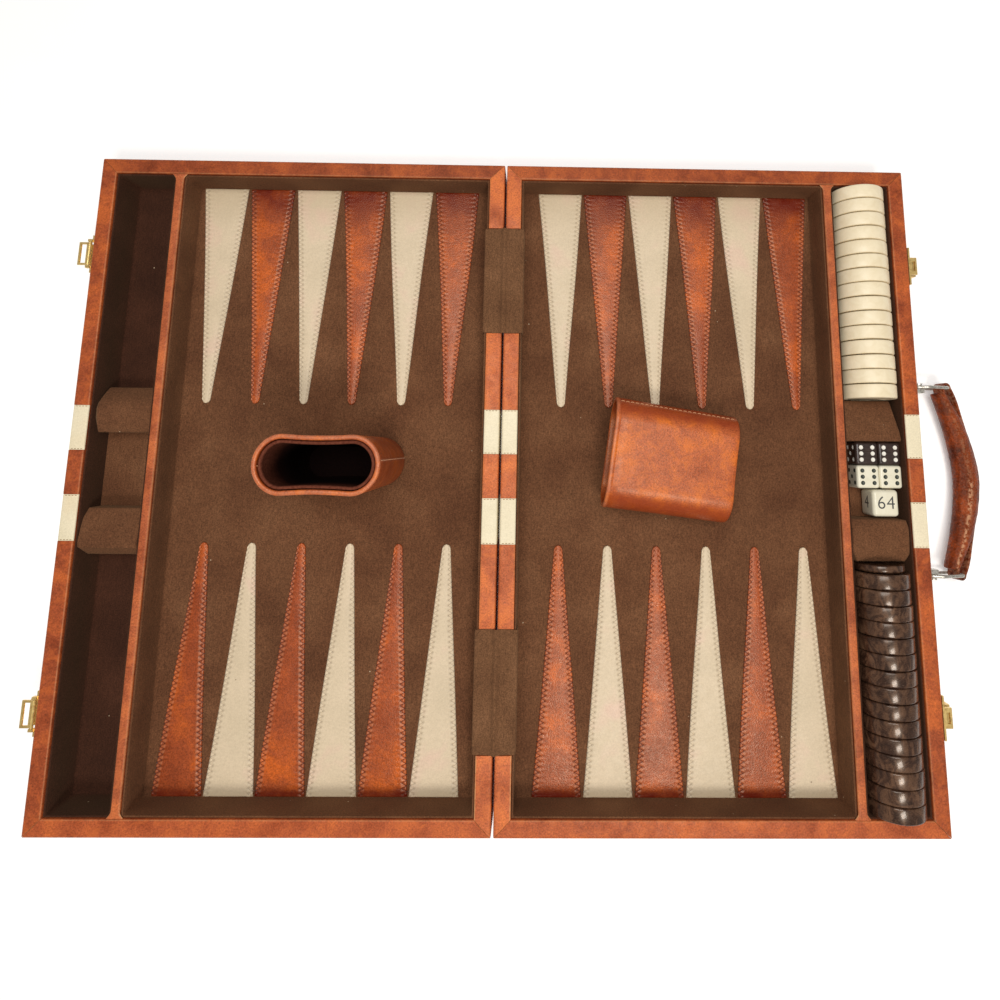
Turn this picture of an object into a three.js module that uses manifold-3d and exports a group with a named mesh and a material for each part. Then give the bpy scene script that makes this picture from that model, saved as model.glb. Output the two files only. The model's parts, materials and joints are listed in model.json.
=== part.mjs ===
// Travelling backgammon set: a hinged attache case laid open, with its cups, dice, cube and checkers.
// Millimetres, +Z up, +Y to the far side, the fold line along Y. Rest pose: case fully open.
import * as THREE from "three";
import { mergeVertices } from "three/addons/utils/BufferGeometryUtils.js";
import Module from "manifold-3d";

const wasm = await Module();
wasm.setup();

// ---- driving dimensions ----
const LENGTH = 457; // case length along the fold
const HALF_WIDTH = 298.9; // fold line to outer wall of one half
const HEIGHT = 34; // one half, underside to rim
const RIM = 11.1; // frame rail thickness
const FOLD_GAP = 0.8; // fold line to each inner rail
const TRAY_WIDTH = 43.6; // checker tray, between outer rail and divider
const DIVIDER = 5.8;
const BASE = 4; // base panel
const FIT = 0.3; // clearance between glued-in pieces
const FELT = 1.2; // lining wall
const LINING_TOP = 32.4;
const FIELD_FLOOR = 9; // top of the playing field felt
const TRAY_FLOOR = 6; // top of the tray felt
const STRIPE_IN = 15; // belt stripe, inner and outer edge from mid length
const STRIPE_OUT = 46;
const STRIPE_DEEP = 1; // inlay depth
const STRIPE_LEATHER = 0.7;
const BAND_IN = 101; // felt hinge band, inner and outer edge from mid length
const BAND_OUT = 179;
const BAND_FELT = 0.8;
const LEAF = 1; // hinge leaf thickness
const LEAF_Z = 31.8;
const KNUCKLE = 1.2; // hinge barrel radius
const POINT_LENGTH = 166;
const POINT_BASE = 33.8;
const POINT_TIP = 5.6;
const POINT_LEATHER = 0.7;
// Where each row of points starts and the spacing of its points.
const POINT_ROWS = {
  left: { far: [-235.2, 35.7], near: [-232.4, 34.7] },
  right: { far: [23.9, 35.2], near: [24.3, 35.35] },
};
const CHECKER_R = 19;
const CHECKER_X = 266.75;
const CHECKER_T = 9.9;
const LIGHT_PITCH = 10.55;
const DARK_PITCH = 10.22;
const DIE = 16;
const CUBE = 18.4;
const WELL_FLOOR = 12; // raised pad under the dice
const WELL_IN = 26.8; // wedges of the right-hand well, from mid length
const WELL_OUT = 56.3;
const CUP = { a: 38.8, b: 18.8, height: 87, wall: 2.8, floor: 3, liner: 1.5, taper: 0.96 };
const LATCH_Y = 155.5;
const HASP = { x: 2.6, z: 32.6, r: 1.2, reach: 7.4, thick: 1.2, half: 8.5 };
const HANDLE = { y: 67, x: 10.1, z: 17, tilt: 15 };

// The open set is centred on the origin: the handle reaches further out than the hasps.
const CENTRE_X = 19.56;

const LEATHER = { color: "#a65432", roughness: 0.55, metalness: 0 };
const CREAM = { color: "#e6dabb", roughness: 0.6, metalness: 0 };
const FELT_LOOK = { color: "#56402e", roughness: 0.95, metalness: 0 };
const BRASS = { color: "#cfa864", roughness: 0.3, metalness: 1 };
const NICKEL = { color: "#b5b2a8", roughness: 0.25, metalness: 1 };
const LIGHT_PIECE = { color: "#e4d7b2", roughness: 0.35, metalness: 0 };
const DARK_PIECE = { color: "#41332e", roughness: 0.25, metalness: 0 };

const group = new THREE.Group();
group.name = "backgammon_set";

// ---- helpers ----
function signedVolume(points, faces) {
  let v = 0;
  for (const [a, b, c] of faces) {
    const p = points[a];
    const q = points[b];
    const r = points[c];
    v += p[0] * (q[1] * r[2] - q[2] * r[1]);
    v -= p[1] * (q[0] * r[2] - q[2] * r[0]);
    v += p[2] * (q[0] * r[1] - q[1] * r[0]);
  }
  return v / 6;
}

function fromFaces(points, faces) {
  const turned = signedVolume(points, faces) < 0 ? faces.map(([a, b, c]) => [a, c, b]) : faces;
  const g = new THREE.BufferGeometry();
  g.setAttribute("position", new THREE.BufferAttribute(new Float32Array(points.flat()), 3));
  g.setIndex(turned.flat());
  return g;
}

// Rings of equal count joined in order; both ends are closed with flat caps.
function loft(rings, capOutline) {
  const n = rings[0].length;
  const points = rings.flat();
  const faces = [];
  for (let i = 0; i + 1 < rings.length; i++) {
    for (let j = 0; j < n; j++) {
      const a = i * n + j;
      const b = i * n + ((j + 1) % n);
      faces.push([a, b, a + n], [b, b + n, a + n]);
    }
  }
  const outline = capOutline.map(([x, y]) => new THREE.Vector2(x, y));
  const caps = THREE.ShapeUtils.triangulateShape(outline, []);
  const way = Math.sign(THREE.ShapeUtils.area(outline));
  const last = (rings.length - 1) * n;
  for (const cap of caps) {
    const same = Math.sign(THREE.ShapeUtils.area(cap.map((i) => outline[i]))) === way;
    const [a, b, c] = same ? cap : [cap[0], cap[2], cap[1]];
    faces.push([a, c, b], [last + a, last + b, last + c]);
  }
  return fromFaces(points, faces);
}

// A flat outline pushed along one axis: "x" takes outlines in (y, z), "y" in (x, z), "z" in (x, y).
function prism(axis, outline, low, high) {
  const place = {
    x: (p, d) => [d, p[0], p[1]],
    y: (p, d) => [p[0], d, p[1]],
    z: (p, d) => [p[0], p[1], d],
  }[axis];
  return loft([low, high].map((d) => outline.map((p) => place(p, d))), outline);
}

function box(x0, x1, y0, y1, z0, z1) {
  const outline = [
    [x0, y0],
    [x1, y0],
    [x1, y1],
    [x0, y1],
  ];
  return prism("z", outline, z0, z1);
}

function circle(r, n, cx = 0, cy = 0, turn = 0) {
  const out = [];
  for (let i = 0; i < n; i++) {
    const t = turn + (2 * Math.PI * i) / n;
    out.push([cx + r * Math.cos(t), cy + r * Math.sin(t)]);
  }
  return out;
}

function solid(geometry) {
  const plain = new THREE.BufferGeometry();
  const source = geometry.index ? geometry.toNonIndexed() : geometry;
  plain.setAttribute("position", source.getAttribute("position"));
  const merged = mergeVertices(plain, 1e-4);
  const mesh = new wasm.Mesh({
    numProp: 3,
    vertProperties: new Float32Array(merged.attributes.position.array),
    triVerts: new Uint32Array(merged.index.array),
  });
  return new wasm.Manifold(mesh);
}

function geometryOf(s) {
  const m = s.getMesh();
  const v = new Float32Array(m.numVert * 3);
  for (let i = 0; i < m.numVert; i++) {
    v.set(m.vertProperties.subarray(i * m.numProp, i * m.numProp + 3), i * 3);
  }
  const g = new THREE.BufferGeometry();
  g.setAttribute("position", new THREE.BufferAttribute(v, 3));
  g.setIndex(new THREE.BufferAttribute(new Uint32Array(m.triVerts), 1));
  return g;
}

function union(...parts) {
  return geometryOf(parts.map(solid).reduce((a, b) => a.add(b)));
}

function cut(body, ...tools) {
  return geometryOf(tools.map(solid).reduce((a, b) => a.subtract(b), solid(body)));
}

function add(name, geometry, look) {
  const mesh = new THREE.Mesh(geometry, new THREE.MeshStandardMaterial({ ...look }));
  mesh.name = name;
  mesh.position.x = -CENTRE_X;
  group.add(mesh);
  return mesh;
}

// ---- one half of the case; side is 1 for the right half and -1 for the left ----
const HALF_LENGTH = LENGTH / 2;
const FRAME_IN = HALF_LENGTH - RIM;
const TRAY_OUT = HALF_WIDTH - RIM;
const TRAY_IN = TRAY_OUT - TRAY_WIDTH;
const FIELD_OUT = TRAY_IN - DIVIDER;
const FIELD_IN = FOLD_GAP + RIM;

// Rail section: across the rail from its outer face inwards, with eased rim edges.
const RAIL_SECTION = [
  [0, 1],
  [1, 0],
  [RIM, 0],
  [RIM, HEIGHT - 0.8],
  [RIM - 0.8, HEIGHT],
  [1.4, HEIGHT],
  [0, HEIGHT - 1.4],
];

// A mitred rail: at(u, z, end) gives the point for the distance u inwards at either end.
function rail(at) {
  return loft([-1, 1].map((end) => RAIL_SECTION.map(([u, z]) => at(u, z, end))), RAIL_SECTION);
}

const MITRE = FIT / 2;

function sideRail(side, outer) {
  const face = outer ? HALF_WIDTH : FOLD_GAP;
  const inwards = outer ? -1 : 1;
  return rail((u, z, end) => [
    side * (face + inwards * u),
    end * (HALF_LENGTH - u - MITRE * 1.42),
    z,
  ]);
}

function endRail(side, far) {
  return rail((u, z, end) => [
    side * (end < 0 ? FOLD_GAP + u + MITRE * 1.42 : HALF_WIDTH - u - MITRE * 1.42),
    far * (HALF_LENGTH - u),
    z,
  ]);
}

// Space for the two belt stripes, cut out of every piece they wrap.
function stripeCuts(side) {
  const cuts = [];
  for (const far of [1, -1]) {
    const y = [far * STRIPE_IN, far * STRIPE_OUT].sort((a, b) => a - b);
    const xs = [FOLD_GAP - 1, FOLD_GAP + STRIPE_DEEP, HALF_WIDTH - STRIPE_DEEP, HALF_WIDTH + 1];
    const x = xs.map((v) => side * v);
    const span = (a, b) => [Math.min(a, b), Math.max(a, b)];
    cuts.push(box(...span(x[0], x[1]), ...y, -1, HEIGHT + 1));
    cuts.push(box(...span(x[2], x[3]), ...y, -1, HEIGHT + 1));
    cuts.push(box(...span(x[0], x[3]), ...y, -1, STRIPE_DEEP));
    cuts.push(box(...span(x[0], x[3]), ...y, HEIGHT - STRIPE_DEEP, HEIGHT + 1));
  }
  return cuts;
}

// Rebate in the inner rail for a hinge leaf and the felt band over it.
function bandCuts(side) {
  return [1, -1].map((far) => {
    const y = [far * (BAND_IN - FIT), far * (BAND_OUT + FIT)].sort((a, b) => a - b);
    const x = [side * (FOLD_GAP - 1), side * (FIELD_IN + 1)].sort((a, b) => a - b);
    return box(...x, ...y, LEAF_Z - FIT, HEIGHT + 1);
  });
}

function stripe(side, far) {
  const t = STRIPE_LEATHER;
  const outline = [
    [FIELD_IN, HEIGHT],
    [FOLD_GAP, HEIGHT],
    [FOLD_GAP, 0],
    [HALF_WIDTH, 0],
    [HALF_WIDTH, HEIGHT],
    [TRAY_OUT, HEIGHT],
    [TRAY_OUT, HEIGHT - t],
    [HALF_WIDTH - t, HEIGHT - t],
    [HALF_WIDTH - t, t],
    [FOLD_GAP + t, t],
    [FOLD_GAP + t, HEIGHT - t],
    [FIELD_IN, HEIGHT - t],
  ].map(([x, z]) => [side * x, z]);
  const y = [far * (STRIPE_IN + FIT), far * (STRIPE_OUT - FIT)].sort((a, b) => a - b);
  return prism("y", outline, ...y);
}

// An open felt box: walls and a floor, sitting on the base panel.
function lining(side, inner, outer, floor) {
  const x = [side * (inner + FIT), side * (outer - FIT)].sort((a, b) => a - b);
  const y = FRAME_IN - FIT;
  const body = box(...x, -y, y, BASE + FIT, LINING_TOP);
  const hollow = box(x[0] + FELT, x[1] - FELT, FELT - y, y - FELT, floor, HEIGHT + 1);
  return cut(body, hollow);
}

// The divider, flaring where its leather turns onto the end rails.
function divider(side) {
  const y = FRAME_IN - FIT;
  const x0 = FIELD_OUT;
  const x1 = TRAY_IN;
  const flares = [1, -1].map((far) => {
    const outline = [
      [x0 - 2.4, y],
      [x0 - 0.6, y - 1.4],
      [x0 + 0.2, y - 3.6],
      [x1 - 0.2, y - 3.6],
      [x1 + 0.6, y - 1.4],
      [x1 + 2.4, y],
    ].map(([x, v]) => [side * x, far * v]);
    return prism("z", outline, LINING_TOP + FIT, HEIGHT);
  });
  const x = [side * x0, side * x1].sort((a, b) => a - b);
  return union(box(...x, -y, y, BASE + FIT, HEIGHT), ...flares);
}

// Six tapered leather points of one row, joined by a strip at the foot of the wall.
function pointRow([start, pitch], far) {
  const foot = FRAME_IN - FIT - FELT - FIT;
  const outline = [];
  const strip = foot - 1.4;
  outline.push([start, far * foot]);
  for (let i = 0; i < 6; i++) {
    const mid = start + (i + 0.5) * pitch;
    outline.push([mid - POINT_BASE / 2, far * strip]);
    outline.push([mid - POINT_TIP / 2, far * (foot - POINT_LENGTH + 1.6)]);
    outline.push([mid - POINT_TIP / 4, far * (foot - POINT_LENGTH)]);
    outline.push([mid + POINT_TIP / 4, far * (foot - POINT_LENGTH)]);
    outline.push([mid + POINT_TIP / 2, far * (foot - POINT_LENGTH + 1.6)]);
    outline.push([mid + POINT_BASE / 2, far * strip]);
  }
  outline.push([start + 6 * pitch, far * foot]);
  return prism("z", outline, FIELD_FLOOR + FIT, FIELD_FLOOR + FIT + POINT_LEATHER);
}

// Felt-covered dice well: a pad between two wedges. Each wedge is its top outline in (y, z), outer edge first.
const WELL_TOPS = {
  right: {
    far: [
      [WELL_OUT, 21],
      [WELL_IN, 31],
    ],
    near: [
      [-WELL_IN, 31],
      [-33, 32.8],
      [-50, 31.6],
      [-WELL_OUT, 27.5],
    ],
  },
  left: {
    far: [
      [59.6, 20.5],
      [47, 33.2],
      [42, 33.2],
      [27.2, 25],
    ],
    near: [
      [-24.2, 28],
      [-45, 33.2],
      [-50, 33],
      [-55.6, 26],
    ],
  },
};

function diceWell(side) {
  const { far, near } = WELL_TOPS[side > 0 ? "right" : "left"];
  const outline = [
    [far[0][0], TRAY_FLOOR + FIT],
    ...far,
    [far.at(-1)[0], WELL_FLOOR],
    [near[0][0], WELL_FLOOR],
    ...near,
    [near.at(-1)[0], TRAY_FLOOR + FIT],
  ];
  const inner = TRAY_IN + FIT + FELT + FIT;
  const outer = TRAY_OUT - FIT - FELT - FIT;
  const x = [side * inner, side * outer].sort((a, b) => a - b);
  return prism("x", outline, ...x);
}

for (const [label, side] of [
  ["right", 1],
  ["left", -1],
]) {
  const stripes = stripeCuts(side);
  const baseX = [side * (FIELD_IN + FIT), side * (TRAY_OUT - FIT)].sort((a, b) => a - b);
  const baseY = FRAME_IN - FIT;
  add(`${label}_base`, cut(box(...baseX, -baseY, baseY, 0, BASE), ...stripes), LEATHER);
  add(`${label}_rail_outer`, cut(sideRail(side, true), ...stripes), LEATHER);
  add(`${label}_rail_inner`, cut(sideRail(side, false), ...stripes, ...bandCuts(side)), LEATHER);
  add(`${label}_rail_far`, endRail(side, 1), LEATHER);
  add(`${label}_rail_near`, endRail(side, -1), LEATHER);
  add(`${label}_stripe_far`, stripe(side, 1), CREAM);
  add(`${label}_stripe_near`, stripe(side, -1), CREAM);
  add(`${label}_divider`, divider(side), LEATHER);
  add(`${label}_field_lining`, lining(side, FIELD_IN, FIELD_OUT, FIELD_FLOOR), FELT_LOOK);
  add(`${label}_tray_lining`, lining(side, TRAY_IN, TRAY_OUT, TRAY_FLOOR), FELT_LOOK);
  add(`${label}_dice_well`, diceWell(side), FELT_LOOK);
  add(`${label}_points_far`, pointRow(POINT_ROWS[label].far, 1), CREAM);
  add(`${label}_points_near`, pointRow(POINT_ROWS[label].near, -1), LEATHER);
}

// ---- hinges under the felt bands ----
const BARREL = 34;
const KNUCKLE_END = 17;
const HINGE_HALF = 35;
const HINGE_MID = (BAND_IN + BAND_OUT) / 2;

// Leaf plate plus its knuckles; segments are [from, to] along Y from the hinge's middle.
function leaf(side, far, segments, extras) {
  const mid = far * HINGE_MID;
  const at = (a, b) => [side * a, side * b].sort((p, q) => p - q);
  const parts = [box(...at(1.9, 11.3), mid - HINGE_HALF, mid + HINGE_HALF, LEAF_Z, LEAF_Z + LEAF)];
  for (const [a, b] of segments) {
    const barrel = prism("y", circle(KNUCKLE, 12, 0, BARREL), mid + a, mid + b);
    const neck = [
      [0, LEAF_Z],
      [3, LEAF_Z],
      [3, LEAF_Z + LEAF],
      [0.9, LEAF_Z + LEAF],
      [0.9, BARREL],
      [0, BARREL],
    ].map(([x, z]) => [side * x, z]);
    parts.push(barrel, prism("y", neck, mid + a, mid + b));
  }
  return { geometry: union(...parts, ...extras), mid };
}

for (const [label, far] of [
  ["far", 1],
  ["near", -1],
]) {
  const ends = [
    [-HINGE_HALF, -HINGE_HALF + KNUCKLE_END],
    [HINGE_HALF - KNUCKLE_END, HINGE_HALF],
  ];
  const left = leaf(-1, far, ends, []);
  const reach = HINGE_HALF + 1;
  const bore = circle(0.75, 12, 0, BARREL);
  const through = prism("y", bore, left.mid - reach, left.mid + reach);
  add(`hinge_${label}_leaf_left`, cut(left.geometry, through), NICKEL);
  const inner = HINGE_HALF - KNUCKLE_END - 0.4;
  const mid = far * HINGE_MID;
  const pin = prism("y", circle(0.5, 8, 0, BARREL), mid - HINGE_HALF, mid + HINGE_HALF);
  add(`hinge_${label}_leaf_right`, leaf(1, far, [[-inner, inner]], [pin]).geometry, NICKEL);

  // Felt band: over both inner rails and a little way down into each field.
  const t = BAND_FELT;
  const out = FIELD_IN + FIT + FELT + FIT;
  const top = HEIGHT - 0.1;
  const low = 20;
  const half = [
    [0, BARREL + KNUCKLE + FIT + t],
    [1.4, BARREL + KNUCKLE + FIT + t - 0.2],
    [3.2, top],
    [out + t, top],
    [out + t, low],
    [out, low],
    [out, top - t],
    [2.6, top - t],
    [1.1, BARREL + KNUCKLE + FIT - 0.1],
    [0, BARREL + KNUCKLE + FIT],
  ];
  const mirrored = half
    .slice(1, -1)
    .reverse()
    .map(([x, z]) => [-x, z]);
  const y = [far * BAND_IN, far * BAND_OUT].sort((a, b) => a - b);
  add(`band_${label}`, prism("y", [...half, ...mirrored], ...y), FELT_LOOK);

  // Hasp on the left wall, staple on the right wall, facing each other when the case is shut.
  const ly = far * LATCH_Y;
  const wall = HALF_WIDTH + FIT;
  const px = HALF_WIDTH + HASP.x;
  const plate = box(-wall - 1.2, -wall, ly - 14, ly + 14, 18, 32.2);
  const ears = [-1, 1].map((e) => {
    const y0 = ly + e * (HASP.half + 0.4);
    const y1 = ly + e * (HASP.half + 2.2);
    const span = [y0, y1].sort((a, b) => a - b);
    return box(-px - HASP.r, -wall - 0.6, ...span, HASP.z - 1.4, HASP.z + 1.2);
  });
  const pivot = prism("y", circle(0.5, 8, -px, HASP.z), ly - HASP.half - 2, ly + HASP.half + 2);
  const lowered = box(-px - 2, -wall - 0.3, ly - HASP.half - 0.4, ly + HASP.half + 0.4, 30.6, 34);
  const stop = box(-wall - 6.8, -wall - 0.6, ly - 8, ly + 8, 19, 29.4);
  add(`hasp_${label}_plate`, union(cut(plate, lowered), ...ears, pivot, stop), BRASS);

  const arm = box(-px - HASP.reach, -px, ly - HASP.half, ly + HASP.half, HASP.z - 0.6, HASP.z + 0.6);
  const barrel = prism("y", circle(HASP.r, 12, -px, HASP.z), ly - HASP.half, ly + HASP.half);
  const eye = box(-px - 6, -px - 2, ly - 7, ly + 7, 30, 36);
  const hole = prism("y", circle(0.75, 12, -px, HASP.z), ly - 10, ly + 10);
  add(`hasp_${label}_loop`, cut(union(arm, barrel), eye, hole), BRASS);

  const back = box(wall, wall + 1.2, ly - 14, ly + 14, 18, 33.4);
  const ring = box(wall + 0.6, HALF_WIDTH + 6.6, ly - 6.5, ly + 6.5, 31.4, 33);
  const slot = box(HALF_WIDTH + 3, HALF_WIDTH + 5.2, ly - 3.6, ly + 3.6, 30, 35);
  const body = box(wall + 0.6, wall + 8.2, ly - 6.5, ly + 6.5, 19.5, 27.4);
  add(`staple_${label}`, cut(union(back, ring, body), slot), BRASS);
}

// ---- handle: posts on the wall, rings and grip swinging together ----
const PIVOT_X = HALF_WIDTH + HANDLE.x;

// Handle pieces are drawn level, with r outwards from the pivot, and lowered to the tilt at rest.
function tilted(geometry) {
  geometry.translate(-PIVOT_X, 0, -HANDLE.z);
  geometry.rotateY(THREE.MathUtils.degToRad(HANDLE.tilt));
  geometry.translate(PIVOT_X, 0, HANDLE.z);
  return geometry;
}

for (const [label, far] of [
  ["far", 1],
  ["near", -1],
]) {
  const span = (a, b) => [far * a, far * b].sort((p, q) => p - q);
  const wall = HALF_WIDTH + FIT;
  const saddle = [
    [wall, HANDLE.y - 14.5],
    [wall + 1, HANDLE.y - 14.5],
    [wall + 1.4, HANDLE.y - 9],
    [wall + 3, HANDLE.y - 5.6],
    [wall + 3, HANDLE.y - 1.8],
    [wall + 1.4, HANDLE.y + 3],
    [wall + 1, HANDLE.y + 14.5],
    [wall, HANDLE.y + 14.5],
  ].map(([x, y]) => [x, far * y]);
  const plate = prism("z", saddle, HANDLE.z - 7, HANDLE.z + 7);
  const lug = box(wall + 1, PIVOT_X + 2.6, ...span(HANDLE.y - 4.4, HANDLE.y - 1.6), 14, 20);
  const pin = prism("y", circle(1.5, 12, PIVOT_X, HANDLE.z), ...span(HANDLE.y - 3, HANDLE.y + 2.4));
  const head = prism("y", circle(2.5, 12, PIVOT_X, HANDLE.z), ...span(HANDLE.y + 1.6, HANDLE.y + 2.8));
  add(`handle_post_${label}`, union(plate, lug, pin, head), NICKEL);

  const y = span(HANDLE.y - 1.2, HANDLE.y + 1.2);
  const eye = prism("y", circle(3.4, 14, PIVOT_X, HANDLE.z), ...y);
  const link = box(PIVOT_X, PIVOT_X + 23, ...y, HANDLE.z - 7.4, HANDLE.z + 7.4);
  const corner = [
    [PIVOT_X - 1, HANDLE.z - 9],
    [PIVOT_X + 7, HANDLE.z - 9],
    [PIVOT_X - 1, HANDLE.z - 2],
  ];
  const corners = [corner, corner.map(([x, z]) => [x, 2 * HANDLE.z - z])];
  const window = box(PIVOT_X + 5.6, PIVOT_X + 20.4, ...span(HANDLE.y - 3, HANDLE.y + 3), 12.2, 21.8);
  const bore = prism("y", circle(1.9, 14, PIVOT_X, HANDLE.z), ...span(HANDLE.y - 3, HANDLE.y + 3));
  const clipped = cut(link, ...corners.map((c) => prism("y", c, ...span(HANDLE.y - 3, HANDLE.y + 3))));
  add(`handle_ring_${label}`, tilted(cut(union(eye, clipped), window, bore)), NICKEL);
}

// Grip: an arched padded bar whose leather is turned over both rings.
function gripBar() {
  const rings = [];
  const stations = 13;
  const reach = HANDLE.y - 3.4;
  for (let i = 0; i < stations; i++) {
    const s = (2 * i) / (stations - 1) - 1;
    const middle = 1 - Math.pow(Math.abs(s), 1.7);
    const r = 17.9 + 19 * middle;
    const wide = 5.4 + 4.2 * Math.pow(middle, 0.8);
    const thick = 5.2 + 1.2 * Math.pow(middle, 0.8);
    rings.push(circle(1, 12).map(([c, d]) => [PIVOT_X + r + wide * c, s * reach, HANDLE.z + thick * d]));
  }
  return loft(rings, circle(1, 12));
}

const turns = [1, -1].map((far) => {
  const y = (v) => far * (HANDLE.y + v);
  const fold = [
    [12, y(-9)],
    [12, y(4)],
    [25.6, y(4)],
    [27.4, y(-6)],
    [29, y(-16)],
    [25.4, y(-16)],
    [23.4, y(-5)],
    [23.6, y(2)],
    [16.4, y(2)],
    [17, y(-9)],
  ].map(([r, v]) => [PIVOT_X + r, v]);
  return prism("z", fold, HANDLE.z - 4.4, HANDLE.z + 4.4);
});
add("handle_grip", tilted(union(gripBar(), ...turns)), LEATHER);

// ---- dice cups ----
// A stadium of half length a and half width b, pinched a little at its waist.
function cupOutline(a, b) {
  const half = [];
  for (let i = 0; i <= 8; i++) {
    const t = ((i / 8 - 0.5) * Math.PI);
    half.push([a - b + b * Math.cos(t), b * Math.sin(t)]);
  }
  for (let i = 1; i < 6; i++) half.push([(a - b) * (1 - i / 3), b]);
  const out = [...half, ...half.map(([x, y]) => [-x, -y])];
  return out.map(([x, y]) => [x, y * (1 - 0.065 * Math.pow(Math.max(0, 1 - (x / (0.8 * a)) ** 2), 2))]);
}

// An open vessel: outer wall up, over the rim, and down the inner wall to the floor.
function vessel(inset, wall, low, floor, high) {
  const ring = (more, z) => {
    const k = CUP.taper + ((1 - CUP.taper) * z) / CUP.height;
    return cupOutline(CUP.a * k - more, CUP.b * k - more).map(([x, y]) => [x, y, z]);
  };
  const inner = inset + wall;
  const rings = [ring(inset, low), ring(inset, high), ring(inner, high), ring(inner, floor)];
  return loft(rings, cupOutline(CUP.a, CUP.b));
}

// Half the thickness of a cup lying on its long side, at mid height.
const CUP_HALF = (Math.max(...cupOutline(CUP.a, CUP.b).map((p) => p[1])) * (1 + CUP.taper)) / 2;

const CUPS = {
  standing: { x: -107.6, y: 8.5 },
  lying: { x: 119.7, y: 12, turn: -7.9 },
};

function placeCup(geometry, which) {
  if (which === "lying") {
    geometry.translate(0, 0, -CUP.height / 2);
    geometry.rotateZ(Math.PI / 2);
    geometry.rotateY(-Math.PI / 2);
    geometry.rotateY(Math.atan((CUP.b * (1 - CUP.taper)) / CUP.height));
    geometry.rotateZ(THREE.MathUtils.degToRad(CUPS.lying.turn));
    geometry.translate(CUPS.lying.x, CUPS.lying.y, FIELD_FLOOR + POINT_LEATHER + 2 * FIT + CUP_HALF);
    return geometry;
  }
  return geometry.translate(CUPS.standing.x, CUPS.standing.y, FIELD_FLOOR + FIT);
}

for (const which of ["standing", "lying"]) {
  const shell = vessel(0, CUP.wall, 0, CUP.floor, CUP.height);
  const liner = vessel(CUP.wall + FIT, CUP.liner, CUP.floor + FIT, CUP.floor + 1.8, CUP.height - 2);
  add(`cup_${which}_shell`, placeCup(shell, which), LEATHER);
  add(`cup_${which}_liner`, placeCup(liner, which), FELT_LOOK);
}

// ---- dice and doubling cube, in the right-hand dice well ----
function cubeAt(size, x, y) {
  const g = box(x, x + size, y, y + size, 0, size);
  const chamfer = 1;
  const mid = [x + size / 2, y + size / 2, size / 2];
  const reach = size * 3 - 2 * chamfer * 2;
  const cornerless = new THREE.OctahedronGeometry(reach / 2).translate(...mid);
  const trimmed = geometryOf(solid(g).intersect(solid(cornerless)));
  return trimmed.translate(0, 0, WELL_FLOOR + FIT);
}

const DICE_X = [253.6, 253.6 + DIE + FIT];
add("die_dark_1", cubeAt(DIE, DICE_X[0], 10.2), DARK_PIECE);
add("die_dark_2", cubeAt(DIE, DICE_X[1], 10.2), DARK_PIECE);
add("die_light_1", cubeAt(DIE, DICE_X[0], 10.2 - DIE - FIT), LIGHT_PIECE);
add("die_light_2", cubeAt(DIE, DICE_X[1], 10.2 - DIE - FIT), LIGHT_PIECE);
add("doubling_cube", cubeAt(CUBE, 262.6, -25.4), LIGHT_PIECE);

// ---- checkers: on edge in the tray, three stacks of five to each colour ----
const NECK = 4;

// Discs on one short core, from y0 towards the end wall.
function stack(count, pitch, y0, far, r, t) {
  const rings = [];
  const ring = (radius, y) =>
    circle(radius, 20).map(([c, s]) => [CHECKER_X + c, far * y, TRAY_FLOOR + FIT + r + s]);
  for (let i = 0; i < count; i++) {
    const a = y0 + i * pitch;
    if (i) rings.push(ring(NECK, a));
    rings.push(ring(r, a), ring(r, a + t));
    if (i < count - 1) rings.push(ring(NECK, a + t));
  }
  return loft(rings, circle(1, 20));
}

const LIGHT_START = 57;
const DARK_START = 62.4;
for (let i = 0; i < 3; i++) {
  const letter = "abc"[i];
  const light = stack(5, LIGHT_PITCH, LIGHT_START + 5 * i * LIGHT_PITCH, 1, CHECKER_R, CHECKER_T);
  add(`checkers_light_${letter}`, light, LIGHT_PIECE);
  const dark = stack(5, DARK_PITCH, DARK_START + 5 * i * DARK_PITCH, -1, CHECKER_R, CHECKER_T);
  add(`checkers_dark_${letter}`, dark, DARK_PIECE);
}
add("spacer_dark", stack(1, 5, 56.9, -1, 17, 5), DARK_PIECE);

export default group;
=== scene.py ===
"""A travelling backgammon set in a leather-covered attache case, laid open, built round its CAD frame.

Lengths inside the functions are case millimetres: X from the fold line, Y from mid length, Z up from the
underside. make() turns them into the row frame's metres.
"""

import json
import math
import random

import bmesh
import bpy
from mathutils import Matrix, Vector, noise


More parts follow.
